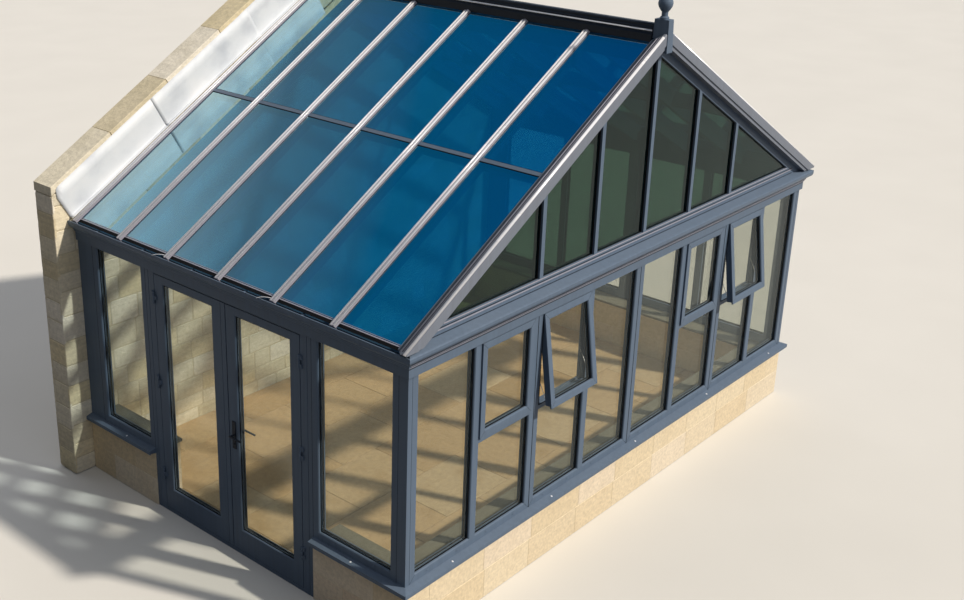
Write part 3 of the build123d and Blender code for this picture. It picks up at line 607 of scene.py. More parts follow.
# %% Rings and the skin between them
def join_rings(shape, rings, closed_ends=True):
    """Skins a row of rings with quads, closes both ends if asked, and returns the faces."""
    faces = []
    for lower, upper in zip(rings, rings[1:]):
        for step in range(len(lower)):
            following = (step + 1) % len(lower)
            corners = (lower[step], lower[following], upper[following], upper[step])
            faces.append(shape.faces.new(corners))
    if closed_ends:
        faces.append(shape.faces.new(rings[-1]))
        faces.append(shape.faces.new(reversed(rings[0])))
    return faces


def round_ring(shape, centre, axis, radius, around):
    """A ring of points about an axis."""
    side = axis.orthogonal().normalized()
    other = axis.cross(side)
    angles = [2 * math.pi * step / around for step in range(around)]
    return [
        shape.verts.new(centre + (side * math.cos(angle) + other * math.sin(angle)) * radius)
        for angle in angles
    ]


def turn_new(shape, known, turn):
    """Turns the points that were added after the known ones."""
    fresh = [vert for vert in shape.verts if vert not in known]
    bmesh.ops.transform(shape, matrix=turn, verts=fresh)


sample = bmesh.new()
ends = [round_ring(sample, Vector((0, 0, up)), Vector((0, 0, 1)), 1, 8) for up in (0, 1)]
print("a rod of two rings of eight points has", len(join_rings(sample, ends)), "faces")
sample.free()

# %% [markdown]
# Seals and trims follow the edge of a pane all the way round, with a mitre at each corner. So one
# function carries a small section round any outline of straight edges. The same function serves
# the square panes and the sloping ones in the gable.

# %% A section carried round an outline
def inset_corner(before, corner, after):
    """How far and which way a corner moves for each metre that its two edges move inwards."""
    arriving = Vector((corner[0] - before[0], corner[1] - before[1])).normalized()
    leaving = Vector((after[0] - corner[0], after[1] - corner[1])).normalized()
    inward_a = Vector((-arriving.y, arriving.x))
    inward_b = Vector((-leaving.y, leaving.x))
    return (inward_a + inward_b) / (1 + inward_a.dot(inward_b))


def shrink(outline, distance):
    """The outline, counter-clockwise, with every edge moved inwards."""
    moved = []
    for place, corner in enumerate(outline):
        push = inset_corner(outline[place - 1], corner, outline[(place + 1) % len(outline)])
        moved.append((corner[0] + push.x * distance, corner[1] + push.y * distance))
    return moved


def frame_round(shape, at, outline, section):
    """Carries a closed section of (inset, out) points round an outline on one face."""
    rings = []
    for place, corner in enumerate(outline):
        push = inset_corner(outline[place - 1], corner, outline[(place + 1) % len(outline)])
        rings.append([
            shape.verts.new(at(corner[0] + push.x * inset, out, corner[1] + push.y * inset))
            for inset, out in section
        ])
    join_rings(shape, rings + rings[:1], closed_ends=False)


def rectangle(along, up, across, height):
    """The four corners of a rectangle, counter-clockwise."""
    return [(along, up), (along + across, up), (along + across, up + height), (along, up + height)]


print("a 10 mm inset of a square metre:", shrink(rectangle(0, 0, 1, 1), 0.01)[0])

# %% [markdown]
# Where the panes are. Each front unit holds two lights, and one of them is split into a vent over a
# fixed pane. These lists repeat the fitter's schedule: the face of the building that a pane is on,
# and its outline there.

# %% The schedule of openings
light = (UNIT - 2 * FRAME_FACE - MULLION) / 2
low = SILL_TOP + FRAME_FACE
high = FRAME_TOP - FRAME_FACE
vent_foot = high - VENT_HEIGHT
fixed_panes = []
vents = []
for unit in range(4):
    start = POST_FACE + unit * UNIT
    for place in range(2):
        along = start + FRAME_FACE + place * (light + MULLION)
        if place == (unit + 1) % 2:
            vents.append((along, vent_foot, light, VENT_HEIGHT))
            fixed_panes.append((on_front, rectangle(along, low, light, vent_foot - TRANSOM - low)))
        else:
            fixed_panes.append((on_front, rectangle(along, low, light, high - low)))

REAR_LIGHT = 700 * MM
FRONT_LIGHT = 820 * MM
DOOR_FRAME = 1864 * MM
door_start = REAR_POST + REAR_LIGHT
for start, across in ((REAR_POST, REAR_LIGHT), (door_start + DOOR_FRAME, FRONT_LIGHT)):
    fixed_panes.append(
        (on_left, rectangle(start + FRAME_FACE, low, across - 2 * FRAME_FACE, high - low))
    )
side_unit = (DEPTH - POST_SIDE - REAR_POST) / 2
side_light = (side_unit - 2 * FRAME_FACE - MULLION) / 2
for unit in range(2):
    for place in range(2):
        along = POST_SIDE + unit * side_unit + FRAME_FACE + place * (side_light + MULLION)
        fixed_panes.append((on_right, rectangle(along, low, side_light, high - low)))
print(len(fixed_panes), "fixed panes and", len(vents), "vents")

# %% [markdown]
# The gable's panes lie between five upright bars under the two rafters. Each outline is found by
# walking from bar to bar and reading the height of the rafter's lower edge on the way.

# %% The gable's outlines
GABLE_RAFTER = 83 * MM
GABLE_RAIL = 77 * MM
GABLE_BAR = 42 * MM
ROOF_GLASS = 25 * MM
rafter_drop = (ROOF_GLASS + GABLE_RAFTER) / math.cos(ROOF_PITCH)


def rafter_height(along):
    """The lower edge of the gable's rafters, this far from the left post."""
    return APEX - abs(along - WIDTH / 2) * math.tan(ROOF_PITCH) - rafter_drop


gable_foot = GABLE_SILL + GABLE_RAIL
half_span = (APEX - rafter_drop - gable_foot) / math.tan(ROOF_PITCH)
bar_places = [WIDTH / 2 + (number - 2) * UNIT / 2 for number in range(5)]
gable_panes = []
edges = [WIDTH / 2 - half_span]
for bar in bar_places:
    edges += [bar - GABLE_BAR / 2, bar + GABLE_BAR / 2]
edges.append(WIDTH / 2 + half_span)
for start, end in zip(edges[::2], edges[1::2]):
    outline = [(start, gable_foot), (end, gable_foot)]
    if rafter_height(end) > gable_foot + MM:
        outline.append((end, rafter_height(end)))
    if rafter_height(start) > gable_foot + MM:
        outline.append((start, rafter_height(start)))
    gable_panes.append((on_front, outline))
print(len(gable_panes), "gable panes between", round(half_span * 2, 3), "m of rafters")

# %% [markdown]
# Rubber seals. A black gasket closes the joint between glass and aluminium on both faces of every
# pane. From outside it is a dark line 5 to 6 mm wide, and it draws the panes far more sharply than
# the glass itself can.

# %% Gaskets round the fixed panes
def gasket_section(setback, thickness):
    """The two gasket sections of a pane: in front of the glass and behind it."""
    face = -setback
    back = -setback - thickness
    outer = [(-4 * MM, face), (6 * MM, face), (5 * MM, face + 3 * MM), (-1 * MM, face + 5 * MM)]
    inner = [(-4 * MM, back), (-1 * MM, back - 5 * MM), (5 * MM, back - 3 * MM), (6 * MM, back)]
    return outer, inner


gaskets = bmesh.new()
for at, outline in fixed_panes + gable_panes:
    for section in gasket_section(SETBACK, GLASS):
        frame_round(gaskets, at, outline, section)
make_piece(gaskets, "fixed_pane_gaskets", rubber)


# %% [markdown]
# A vent is a frame of its own. It needs a gasket round its glass, and a second seal where the sash
# lands on the frame. Two vents stand ajar, so their seals are made shut and then turned about the
# line of the hinge, in the same way as the real ones travel.

# %% Vent seals, shut and ajar
HINGE_OUT = 0.4 * MM


def vent_hinge(vent):
    """The turn that takes a shut vent to its place ajar."""
    along, foot, across, height = vent
    pivot = on_front(along, HINGE_OUT, foot + height + SASH_LAP)
    turn = Matrix.Rotation(-VENT_ANGLE, 4, "X")
    return Matrix.Translation(pivot) @ turn @ Matrix.Translation(-pivot)


def stands_ajar(number):
    """Every second vent, counted from the left, is open."""
    return number % 2 == 1


LANDING = [(-7 * MM, 0.0), (-1 * MM, 0.0), (-2 * MM, 2.5 * MM), (-6 * MM, 2.5 * MM)]
seals = bmesh.new()
landing = bmesh.new()
for number, vent in enumerate(vents):
    along, foot, across, height = vent
    inner_edge = SASH_FACE - SASH_LAP
    sight = rectangle(
        along + inner_edge, foot + inner_edge, across - 2 * inner_edge, height - 2 * inner_edge
    )
    known = set(seals.verts)
    for section in gasket_section(SETBACK - SASH_PROUD, GLASS):
        frame_round(seals, on_front, sight, section)
    if stands_ajar(number):
        turn_new(seals, known, vent_hinge(vent))
        frame_round(landing, on_front, rectangle(*vent), LANDING)
make_piece(seals, "vent_pane_gaskets", rubber)
make_piece(landing, "vent_landing_seals", rubber)

# %% [markdown]
# Joints between units. Coupled frames meet on a dark shadow line, and so do the frames and the
# posts. The gap in the CAD is only 0.6 mm, so a thin black strip is laid over it as painted
# shadow: 7 mm wide between two coupled units and 2 mm against a post.

# %% Strips, and the joints between frames
def strip(shape, at, start, end, width, out, thickness):
    """A flat bar with eased edges between two points on a face."""
    run = Vector((end[0] - start[0], end[1] - start[1])).normalized()
    across = Vector((-run.y, run.x)) * width / 2
    ease = min(thickness, width / 2) * 0.4
    section = [
        (-1.0, 0.0), (1.0, 0.0), (1.0, thickness - ease),
        (1.0 - 2 * ease / width, thickness), (2 * ease / width - 1.0, thickness),
        (-1.0, thickness - ease),
    ]
    rings = []
    for point in (start, end):
        rings.append([
            shape.verts.new(
                at(point[0] + across.x * side, out + lift, point[1] + across.y * side)
            )
            for side, lift in section
        ])
    join_rings(shape, rings)


def seam(tight):
    """The width of a joint line: tight against a post, wider between two coupled units."""
    return 2 * MM if tight else 7 * MM


SKIRT_DROP = 42 * MM
skirt = FRAME_TOP - SKIRT_DROP
front_joints = [POST_FACE + number * UNIT for number in range(5)]
left_joints = [REAR_POST, door_start, door_start + DOOR_FRAME, DEPTH - POST_SIDE]
right_joints = [POST_SIDE, POST_SIDE + side_unit, DEPTH - REAR_POST]
joints = bmesh.new()
for at, places in ((on_front, front_joints), (on_left, left_joints), (on_right, right_joints)):
    for along in places:
        width = seam(at is not on_front or along in (front_joints[0], front_joints[-1]))
        strip(joints, at, (along, SILL_TOP), (along, skirt), width, -0.5 * MM, 1.2 * MM)
make_piece(joints, "frame_joint_shadow_lines", shadow_gap)

# %% [markdown]
# Mitres. Window frames and sashes are cut at 45 degrees and crimped, and a hairline stays visible
# at each corner. A real one is 0.3 mm, so it is drawn 1.6 mm wide to show at all, in black as the
# painted shade inside the crack.

# %% Mitre lines at the frame corners
def mitre_lines(shape, outline, opening, out):
    """A hairline from each outer corner of a frame to the inner one."""
    for outer, inner in zip(outline, opening):
        start, end = (Vector(outer).lerp(Vector(inner), share) for share in (0.02, 0.92))
        strip(shape, on_front, start, end, 1.6 * MM, out, 0.3 * MM)


mitres = bmesh.new()
for unit in range(4):
    start = POST_FACE + unit * UNIT
    outer = rectangle(start, SILL_TOP, UNIT, FRAME_TOP - SILL_TOP)
    mitre_lines(mitres, outer, shrink(outer, FRAME_FACE), -0.1 * MM)
for number, vent in enumerate(vents):
    outer = shrink(rectangle(*vent), -SASH_LAP)
    known = set(mitres.verts)
    mitre_lines(mitres, outer, shrink(outer, SASH_FACE), SASH_PROUD - 0.1 * MM)
    if stands_ajar(number):
        turn_new(mitres, known, vent_hinge(vent))
make_piece(mitres, "frame_mitre_lines", shadow_gap)

# %% [markdown]
# Drainage. Water that passes the gasket leaves through slots in the bottom rails, each under a
# small moulded hood. There are two under every fixed pane.

# %% Drain hoods on the bottom rails
HOOD_WIDTH = 30 * MM
HOOD_HEIGHT = 9 * MM
HOOD_RISE = 3.5 * MM


def hood(shape, at, along, up):
    """A low rounded cover whose top is smaller than its foot."""
    around = 12
    foot, crown = [], []
    for step in range(around):
        angle = 2 * math.pi * step / around
        bulge = (abs(math.cos(angle)) ** 0.6) * math.copysign(1, math.cos(angle)) * HOOD_WIDTH
        lift = math.sin(angle) * HOOD_HEIGHT
        foot.append(shape.verts.new(at(along + bulge / 2, 0, up + lift / 2)))
        crown.append(shape.verts.new(at(along + bulge * 0.42, HOOD_RISE, up + lift * 0.36)))
    join_rings(shape, [foot, crown])


hoods = bmesh.new()
for at, outline in fixed_panes:
    (start, foot), end = outline[0], outline[1][0]
    rail = SILL_TOP + FRAME_FACE / 2 if abs(foot - low) < MM else foot - TRANSOM / 2
    for share in (0.22, 0.78):
        hood(hoods, at, start + (end - start) * share, rail)
make_piece(hoods, "drain_hoods", anthracite, smooth=True)

# %% [markdown]
# Fixings. The sill is screwed down through its top about every 1.2 m, and each capped screw shows
# as a bright dot. A pan head is a shallow dome, made as rings that shrink towards a small dimple
# in the middle.

# %% Screw heads
def screw_head(shape, centre, outward, radius, rise):
    """A domed head with a small recess, standing on centre and facing outward."""
    outward = outward.normalized()
    profile = ((1.0, 0.0), (0.92, 0.55), (0.6, 0.95), (0.32, 1.0), (0.2, 0.55))
    join_rings(shape, [
        round_ring(shape, centre + outward * rise * lift, outward, radius * reach, 12)
        for reach, lift in profile
    ])


SILL_FALL = 15 * MM
SILL_REACH = 60 * MM
SCREW_START = 470 * MM
SCREW_STEP = 1190 * MM
SCREW = 8.5 * MM
SCREW_RISE = 3 * MM
sill_screws = [
    (on_front, SCREW_START + number * SCREW_STEP, 0.5, Vector((0, -SILL_FALL, SILL_REACH)))
    for number in range(5)
]
for along in (REAR_POST + 0.5 * REAR_LIGHT, door_start + DOOR_FRAME + 0.5 * FRONT_LIGHT):
    sill_screws.append((on_left, along, 0.55, Vector((-SILL_FALL, 0, SILL_REACH))))
for share in (0.1, 0.37, 0.63, 0.9):
    sill_screws.append((on_right, DEPTH * share, 0.55, Vector((SILL_FALL, 0, SILL_REACH))))
screws = bmesh.new()
for at, along, reach, upward in sill_screws:
    spot = at(along, SILL_REACH * reach, SILL_TOP - SILL_FALL * reach)
    screw_head(screws, spot, upward, SCREW, SCREW_RISE)
make_piece(screws, "sill_screws", white_aluminium_and_painted_highlight, smooth=True)

# %% [markdown]
# Roof glass edges. The lower edge of each sealed unit is closed by a pale aluminium channel over a
# black seal, and black glazing tape runs beside every bar cap. These lines divide the blue surface
# in the same rhythm as the bars.

# %% Edge channels and glazing tape
BAYS = 6
FIRST_BAR = 38 * MM
LAST_BAR = DEPTH - 70 * MM
BAY = (LAST_BAR - FIRST_BAR) / BAYS
bars = [FIRST_BAR + BAY * number for number in range(1, BAYS + 1)]
CAP = 60 * MM
TRANSOM_CLIMB = 1680 * MM
TRANSOM_TAPE = 20 * MM
VERGE_EDGE = 10 * MM
VERGE_CAP_EDGE = 61 * MM
RIDGE_STOP = 90 * MM
TAPE_WIDTH = 8 * MM
TAPE = 1.2 * MM
JUST_OUT = 0.1 * MM
channels, tapes = bmesh.new(), bmesh.new()
# at the lower edge of a pane: place up the slope, width and thickness in millimetres
edge_lines = (
    (tapes, 12, 26, 1.0), (channels, 30, 9, 1.6), (tapes, 38, 2, 0.8), (channels, 43, 4, 1.2),
)
for side in (-1, 1):
    slope = on_slope(side)
    for number, bar in enumerate(bars):
        start = bars[number - 1] + CAP / 2 if number else VERGE_EDGE
        end = bar - CAP / 2
        for shape, climb, width, rise in edge_lines:
            edge = climb * MM
            strip(shape, slope, (start, edge), (end, edge), width * MM, JUST_OUT, rise * MM)
        for back in (end + MM, start - MM) if number else (end + MM,):
            top = SLOPE_LENGTH - RIDGE_STOP
            strip(tapes, slope, (back, 0), (back, top), TAPE_WIDTH, JUST_OUT, TAPE)
        for climb in (TRANSOM_CLIMB - TRANSOM_TAPE, TRANSOM_CLIMB + TRANSOM_TAPE):
            first = max(start, VERGE_CAP_EDGE)
            strip(tapes, slope, (first, climb), (end, climb), TAPE_WIDTH - MM, JUST_OUT, TAPE)
make_piece(channels, "glass_edge_channels", silver_and_painted_highlight)
make_piece(tapes, "glazing_tapes", rubber)

# %% [markdown]
# The bar caps are extruded with two rounded beads and a groove between them. The beads stiffen the
# cap, and they are drawn near white as a painted highlight: the two bright lines that the sun draws
# up the roof. The verge capping has fine ribs and grooves on the glass side and one round nosing,
# and the ridge capping has a bead along each flank. The ribs are lighter than the verge as painted
# highlight, and the grooves are black as painted shade. The nosing and the ridge beads are near
# white as painted highlight, the ridge beads even on the shaded flank. All are laid on the CAD
# solids as slim sections.

# %% Beads on the caps, ribs and nosing on the verges
def bead(shape, at, start, end, width, out, rise, around=7):
    """A low rounded ridge between two points on a face, closed at both ends."""
    run = Vector((end[0] - start[0], end[1] - start[1])).normalized()
    across = Vector((-run.y, run.x)) * width / 2
    rings = []
    for point in (start, end):
        ring = []
        for step in range(around + 1):
            angle = math.pi * step / around
            x, y = Vector(point) + across * math.cos(angle)
            ring.append(shape.verts.new(at(x, out + rise * math.sin(angle), y)))
        rings.append(ring)
    join_rings(shape, rings)


CAP_HEIGHT = 16 * MM
CAP_OVERHANG = 18 * MM
RIDGE_HALF = 58 * MM
RIDGE_FLANK = 0.8
FOOT_DROP = 40 * MM
TOP_DROP = 44 * MM
LINE_START = 30 * MM
# in millimetres: how far from the bar's middle, and how wide
CAP_BEADS = ((-13, 21), (15, 17))
# how far back from the front, how high above the glass, and how wide
VERGE_RIBS = ((3, 33.5, 10), (-26, 46.5, 6))
VERGE_GROOVES = ((38, 18.5, 5), (24, 25, 8), (-12, 41, 5))
VERGE_NOSING = (-55, 52, 25)
# how far up the capping, how far out, and how wide
RIDGE_BEAD = (84, -1, 14)
ridge_side = RIDGE_HALF / math.cos(ROOF_PITCH)
foot_climb = -FOOT_DROP / math.cos(ROOF_PITCH)
top_climb = SLOPE_LENGTH - TOP_DROP / math.cos(ROOF_PITCH)
ridge_low, ridge_high = (Vector(corner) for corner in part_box("ridge_capping"))
beads, verge_ribs, verge_grooves = bmesh.new(), bmesh.new(), bmesh.new()
for side in (-1, 1):
    slope = on_slope(side)
    for bar in bars:
        for shift, width in CAP_BEADS:
            back = bar + shift * MM
            foot, top = (back, -CAP_OVERHANG + 3 * MM), (back, SLOPE_LENGTH - ridge_side)
            bead(beads, slope, foot, top, width * MM, CAP_HEIGHT - 0.5 * MM, 5 * MM)
    for back, out, width in VERGE_RIBS:
        foot, top = (back * MM, foot_climb + LINE_START), (back * MM, top_climb)
        bead(verge_ribs, slope, foot, top, width * MM, out * MM, 6 * MM, 5)
    for back, out, width in VERGE_GROOVES:
        foot, top = (back * MM, foot_climb + LINE_START), (back * MM, top_climb)
        strip(verge_grooves, slope, foot, top, width * MM, out * MM, 2.4 * MM)
    back, out, width = (size * MM for size in VERGE_NOSING)
    bead(beads, slope, (back, foot_climb), (back, top_climb), width, out, 14 * MM, 11)

    def on_ridge(back, out, up, side=side):
        return Vector((side * (ridge_high.x * RIDGE_FLANK + out), back, ridge_low.z + up))

    up, out, width = (size * MM for size in RIDGE_BEAD)
    front_end, rear_end = (ridge_low.y + 2 * MM, up), (ridge_high.y - 2 * MM, up)
    bead(beads, on_ridge, front_end, rear_end, width, out, 6 * MM)
make_piece(beads, "cap_beads", white_aluminium_and_painted_highlight, smooth=True)
make_piece(verge_ribs, "verge_ribs", silver_and_painted_highlight, smooth=True)
make_piece(verge_grooves, "verge_grooves", black_coat_and_painted_shade)

# %% [markdown]
# The ring beam and the gable rail are built up from several extrusions. Each one ends in an arris
# above a quirk, and a pair of painted lines makes the beam read as moulded: a silver strip is the
# painted highlight on the arris, and a black strip is the painted shade in the quirk. The CAD beam
# has the steps, and the lines are laid on them.

# %% Arris lines and quirks along the gable
SKIRT_REACH = 18 * MM
REED = 8 * MM
FASCIA_TOP = skirt + 70 * MM
QUIRK = 0.5 * MM
RAIL_BEYOND = 110 * MM
arrises, quirks = bmesh.new(), bmesh.new()


def level_line(shape, reach, up, width, out, rise):
    """A strip along the front, as far from the middle as its reach on both sides."""
    ends = (WIDTH / 2 - reach, up), (WIDTH / 2 + reach, up)
    strip(shape, on_front, *ends, width, out, rise)


for number in range(3):
    foot = FASCIA_TOP + number * 2 * REED
    out = SKIRT_REACH + number * REED
    reach = WIDTH / 2 + SKIRT_REACH
    level_line(quirks, reach, foot - 3.5 * MM, 6 * MM, out, QUIRK)
    level_line(arrises, reach, foot + REED + 3 * MM, 4 * MM, out + REED, 0.8 * MM)
level_line(arrises, half_span, gable_foot - 5 * MM, 9 * MM, 0, 2 * MM)
level_line(quirks, half_span + RAIL_BEYOND, gable_foot - 26 * MM, 8 * MM, 0, QUIRK)
level_line(arrises, half_span + RAIL_BEYOND, gable_foot - 38 * MM, 8 * MM, 0, 1.5 * MM)
level_line(quirks, half_span + RAIL_BEYOND, GABLE_SILL + 6 * MM, 6 * MM, 0, QUIRK)
make_piece(arrises, "beam_arris_lines", silver_and_painted_highlight)
make_piece(quirks, "beam_quirk_lines", black_coat_and_painted_shade)

# %% [markdown]
# Bar ends. Each cap stops in a small end plate held by one screw. At two bars of the left slope a
# bright spring clip curls over the gutter.

# %% End screws and spring clips
def rod(shape, points, radius, around=8):
    """A round wire through the points given."""
    rings = []
    for place, point in enumerate(points):
        ahead = points[min(place + 1, len(points) - 1)] - points[max(place - 1, 0)]
        rings.append(round_ring(shape, point, ahead.normalized(), radius, around))
    join_rings(shape, rings)


CLIPPED_BARS = (1, 3)
end_screws, clips = bmesh.new(), bmesh.new()
for side in (-1, 1):
    slope = on_slope(side)
    downhill = slope(0, 0, 0) - slope(0, 0, 1)
    for number, bar in enumerate(bars):
        screw_head(end_screws, slope(bar, -11 * MM, -CAP_OVERHANG), downhill, 4 * MM, 1.6 * MM)
        if side < 0 and number in CLIPPED_BARS:
            curl = []
            for step in range(9):
                share = step / 8
                back = bar + (24 + 118 * share) * MM
                out = (9 + 12 * math.sin(math.pi * share)) * MM
                curl.append(slope(back, out, (6 - 44 * share) * MM))
            rod(clips, curl, 3 * MM)
make_piece(end_screws, "bar_end_screws", steel, smooth=True)
make_piece(clips, "spring_clips", white_aluminium_and_painted_highlight, smooth=True)

# %% [markdown]
# Stonework. A mason's block is never a plain box: its arrises are rubbed round, its face is a
# little hollow or proud, and no two are the same length. Blocks are made as stacked rings. The
# outline is shrunk by half a joint, its corners are cut, and each ring inwards is lifted or
# lowered by a random amount.

# %% One block of stone
dice = random.Random(7)


def new_stones():
    """An empty shape whose faces can carry the colour of their own block."""
    shape = bmesh.new()
    shape.loops.layers.float_color.new("tone")
    return shape


def give_tone(shape, faces):
    """Gives the faces of one block a random tone, which the stone materials read."""
    tone = shape.loops.layers.float_color["tone"]
    colour = (dice.random(), dice.random(), dice.random(), 1)
    for face in faces:
        for loop in face.loops:
            loop[tone] = colour


def ease_corners(outline, radius):
    """Replaces each corner of an outline by three points on a curve."""
    eased = []
    for place, corner in enumerate(outline):
        corner = Vector(corner)
        before = Vector(outline[place - 1]) - corner
        after = Vector(outline[(place + 1) % len(outline)]) - corner
        reach = min(radius, before.length * 0.3, after.length * 0.3)
        first = corner + before.normalized() * reach
        last = corner + after.normalized() * reach
        eased += [tuple(first), tuple((first + last + 2 * corner) / 4), tuple(last)]
    return eased


def stone_face(shape, at, outline, joint, depth, wander, corner):
    """A block that shows one face: it rises from behind the face and is never proud of it."""
    edge = ease_corners(shrink(outline, joint / 2), corner)
    middle = Vector((
        sum(point[0] for point in edge) / len(edge), sum(point[1] for point in edge) / len(edge)
    ))
    lean = dice.uniform(0, wander)
    swell = ((1.0, -wander * 1.6), (0.965, -wander * 0.7), (0.62, -wander * 0.3))
    rings = []
    for share, out in ((1.0, -depth), *swell):
        ring = []
        for point in edge:
            pulled = middle + (Vector(point) - middle) * share
            jitter = dice.uniform(-wander, 0) * 0.5 if share < 1 else 0.0
            ring.append(shape.verts.new(at(pulled.x, out + jitter - lean * 0.4, pulled.y)))
        rings.append(ring)
    crown = shape.verts.new(at(middle.x, -lean * 0.6, middle.y))
    faces = join_rings(shape, rings, closed_ends=False)
    inner_ring = rings[-1]
    for first, second in zip(inner_ring, inner_ring[1:] + inner_ring[:1]):
        faces.append(shape.faces.new((first, second, crown)))
    faces.append(shape.faces.new(reversed(rings[0])))
    give_tone(shape, faces)


def through_block(shape, at, outline, joint, back, front, arris):
    """A block that shows both ends: a prism from back to front with rubbed arrises."""
    body = shrink(outline, joint / 2)
    slim = shrink(body, arris)
    steps = ((slim, back), (body, back + arris), (body, front - arris), (slim, front))
    rings = [
        [shape.verts.new(at(along, out, up)) for along, up in ring_outline]
        for ring_outline, out in steps
    ]
    give_tone(shape, join_rings(shape, rings))


def cut(outline, point, normal):
    """The part of a convex outline on the side of a line that the normal points to."""
    kept = []
    for place, corner in enumerate(outline):
        before = outline[place - 1]
        here = (corner[0] - point[0]) * normal[0] + (corner[1] - point[1]) * normal[1]
        there = (before[0] - point[0]) * normal[0] + (before[1] - point[1]) * normal[1]
        if here * there < 0:
            share = there / (there - here)
            kept.append(tuple(low + (high - low) * share for low, high in zip(before, corner)))
        if here >= 0:
            kept.append(corner)
    return kept


def area_of(outline):
    """The area inside an outline that runs anticlockwise."""
    return sum(
        before[0] * corner[1] - corner[0] * before[1]
        for before, corner in zip(outline[-1:] + outline[:-1], outline)
    ) / 2


print("a block cut by a slope has", len(cut(rectangle(0, 0, 1, 1), (0, 0.5), (1, -1))), "corners")

# %% [markdown]
# The dwarf wall is ashlar: large sawn sandstone blocks in two courses with thin joints. The long
# blocks run right through the wall, so they show inside and out, and the corners alternate
# between the front and the side, as a mason bonds them.

# %% The ashlar dwarf wall
REVEAL = 10 * MM
WALL = 260 * MM
WALL_TOP = 490 * MM
COURSE = WALL_TOP / 2
ASHLAR = 610 * MM
THIN_JOINT = 3 * MM
BED_BACK = 2 * MM
ashlar = new_stones()


def ashlar_run(at, start, end, foot, offset):
    """One course of through blocks between two ends."""
    edges = [start]
    place = start + ASHLAR * offset
    while place < end - 0.4 * ASHLAR:
        if place > start + 0.3 * ASHLAR:
            edges.append(place)
        place += ASHLAR * dice.uniform(0.86, 1.12)
    edges.append(end)
    for first, last in zip(edges, edges[1:]):
        block = rectangle(first, foot, last - first, COURSE)
        through_block(ashlar, at, block, THIN_JOINT, REVEAL - WALL, REVEAL, 2 * MM)


inner = WALL - REVEAL
for course in range(2):
    foot = course * COURSE
    takes_corner = course == 0
    front_ends = (-REVEAL, WIDTH + REVEAL) if takes_corner else (inner, WIDTH - inner)
    side_end = DEPTH - inner if takes_corner else DEPTH + REVEAL
    side_start = inner if takes_corner else -REVEAL
    shift = 0.5 if takes_corner else 1.0
    ashlar_run(on_front, *front_ends, foot, shift)
    ashlar_run(on_left, 0, door_start, foot, shift)
    ashlar_run(on_left, door_start + DOOR_FRAME, side_end, foot, shift)
    ashlar_run(on_right, side_start, DEPTH, foot, shift)
bed = new_stones()
for at, start, end in (
    (on_front, 0, WIDTH), (on_left, 0, door_start),
    (on_left, door_start + DOOR_FRAME, DEPTH - inner), (on_right, inner, DEPTH),
):
    run = rectangle(start + BED_BACK, MM, end - start - 2 * BED_BACK, WALL_TOP - 3 * MM)
    through_block(bed, at, run, 0, REVEAL - WALL + BED_BACK, REVEAL - BED_BACK, MM)
make_piece(bed, "dwarf_wall_mortar", mortar)
dwarf_wall = make_piece(ashlar, "dwarf_wall_ashlar", sandstone)
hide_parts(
    "front_dwarf_wall", "left_front_dwarf_wall", "left_rear_dwarf_wall", "right_dwarf_wall",
)

# %% [markdown]
# The stone gable wall is coursed limestone rubble: courses of 140 to 230 mm, blocks of 180 to
# 430 mm, with a rough pitched face and wide lime joints. Its sloping top carries flat coping
# stones. Block faces never stand proud of the CAD wall, so the glazed frame still meets it.

# %% Coursed rubble on the four faces
COPING = 70 * MM
COURSE_HEIGHTS = (140, 230)
BLOCK_LENGTHS = (180, 430)
LOW_COURSE = 90 * MM
SHORT_BLOCK = 150 * MM
SLIVER = 0.004  # square metres, the least that a mason would lay
WIDE_JOINT = 11 * MM
BLOCK_DEPTH = 22 * MM
PITCHED = 5 * MM
ROUNDED = 18 * MM
wall_length = wall_high.x - wall_low.x
wall_apex = wall_high.z
wall_eaves = wall_apex - wall_length / 2 * math.tan(ROOF_PITCH)
top_drop = COPING / math.cos(ROOF_PITCH)


def rubble(shape, at, length, top_at_start, top_in_middle):
    """Fills a face with courses up to a gable line that rises from both ends to its middle."""
    rise = (top_in_middle - top_at_start) / (length / 2)
    foot = 0.0
    while foot < top_in_middle - 30 * MM:
        height = dice.uniform(*COURSE_HEIGHTS) * MM
        if top_in_middle - foot - height < LOW_COURSE:
            height = top_in_middle - foot
        place = 0.0
        while place < length - MM:
            across = dice.uniform(*BLOCK_LENGTHS) * MM
            if length - place - across < SHORT_BLOCK:
                across = length - place
            block = cut(rectangle(place, foot, across, height), (0, top_at_start), (rise, -1))
            block = cut(block, (length, top_at_start), (-rise, -1))
            if area_of(block) > SLIVER:
                stone_face(shape, at, block, WIDE_JOINT, BLOCK_DEPTH, PITCHED, ROUNDED)
            place += across
        foot += height


def on_wall_back(along, out, up):
    """The back of the stone wall, from its right end."""
    return Vector((wall_high.x - along, wall_high.y + out, up))


def on_wall_left(along, out, up):
    """The left end of the stone wall, from its back."""
    return Vector((wall_low.x - out, wall_high.y - along, up))


def on_wall_right(along, out, up):
    """The right end of the stone wall, from its room side."""
    return Vector((wall_high.x + out, wall_low.y + along, up))


wall_stones = new_stones()
thick = wall_high.y - wall_low.y
for at, length, top in (
    (on_wall, wall_length, wall_apex), (on_wall_back, wall_length, wall_apex),
    (on_wall_left, thick, wall_eaves), (on_wall_right, thick, wall_eaves),
):
    rubble(wall_stones, at, length, wall_eaves - top_drop, top - top_drop)
stone_wall = make_piece(wall_stones, "rubble_wall_stones", limestone)
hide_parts("back_wall")

# %% [markdown]
# Behind the faces of the stones lies the mortar. It is one solid with the wall's own gable shape,
# set back a few millimetres so that it only shows in the joints, as pointing does.

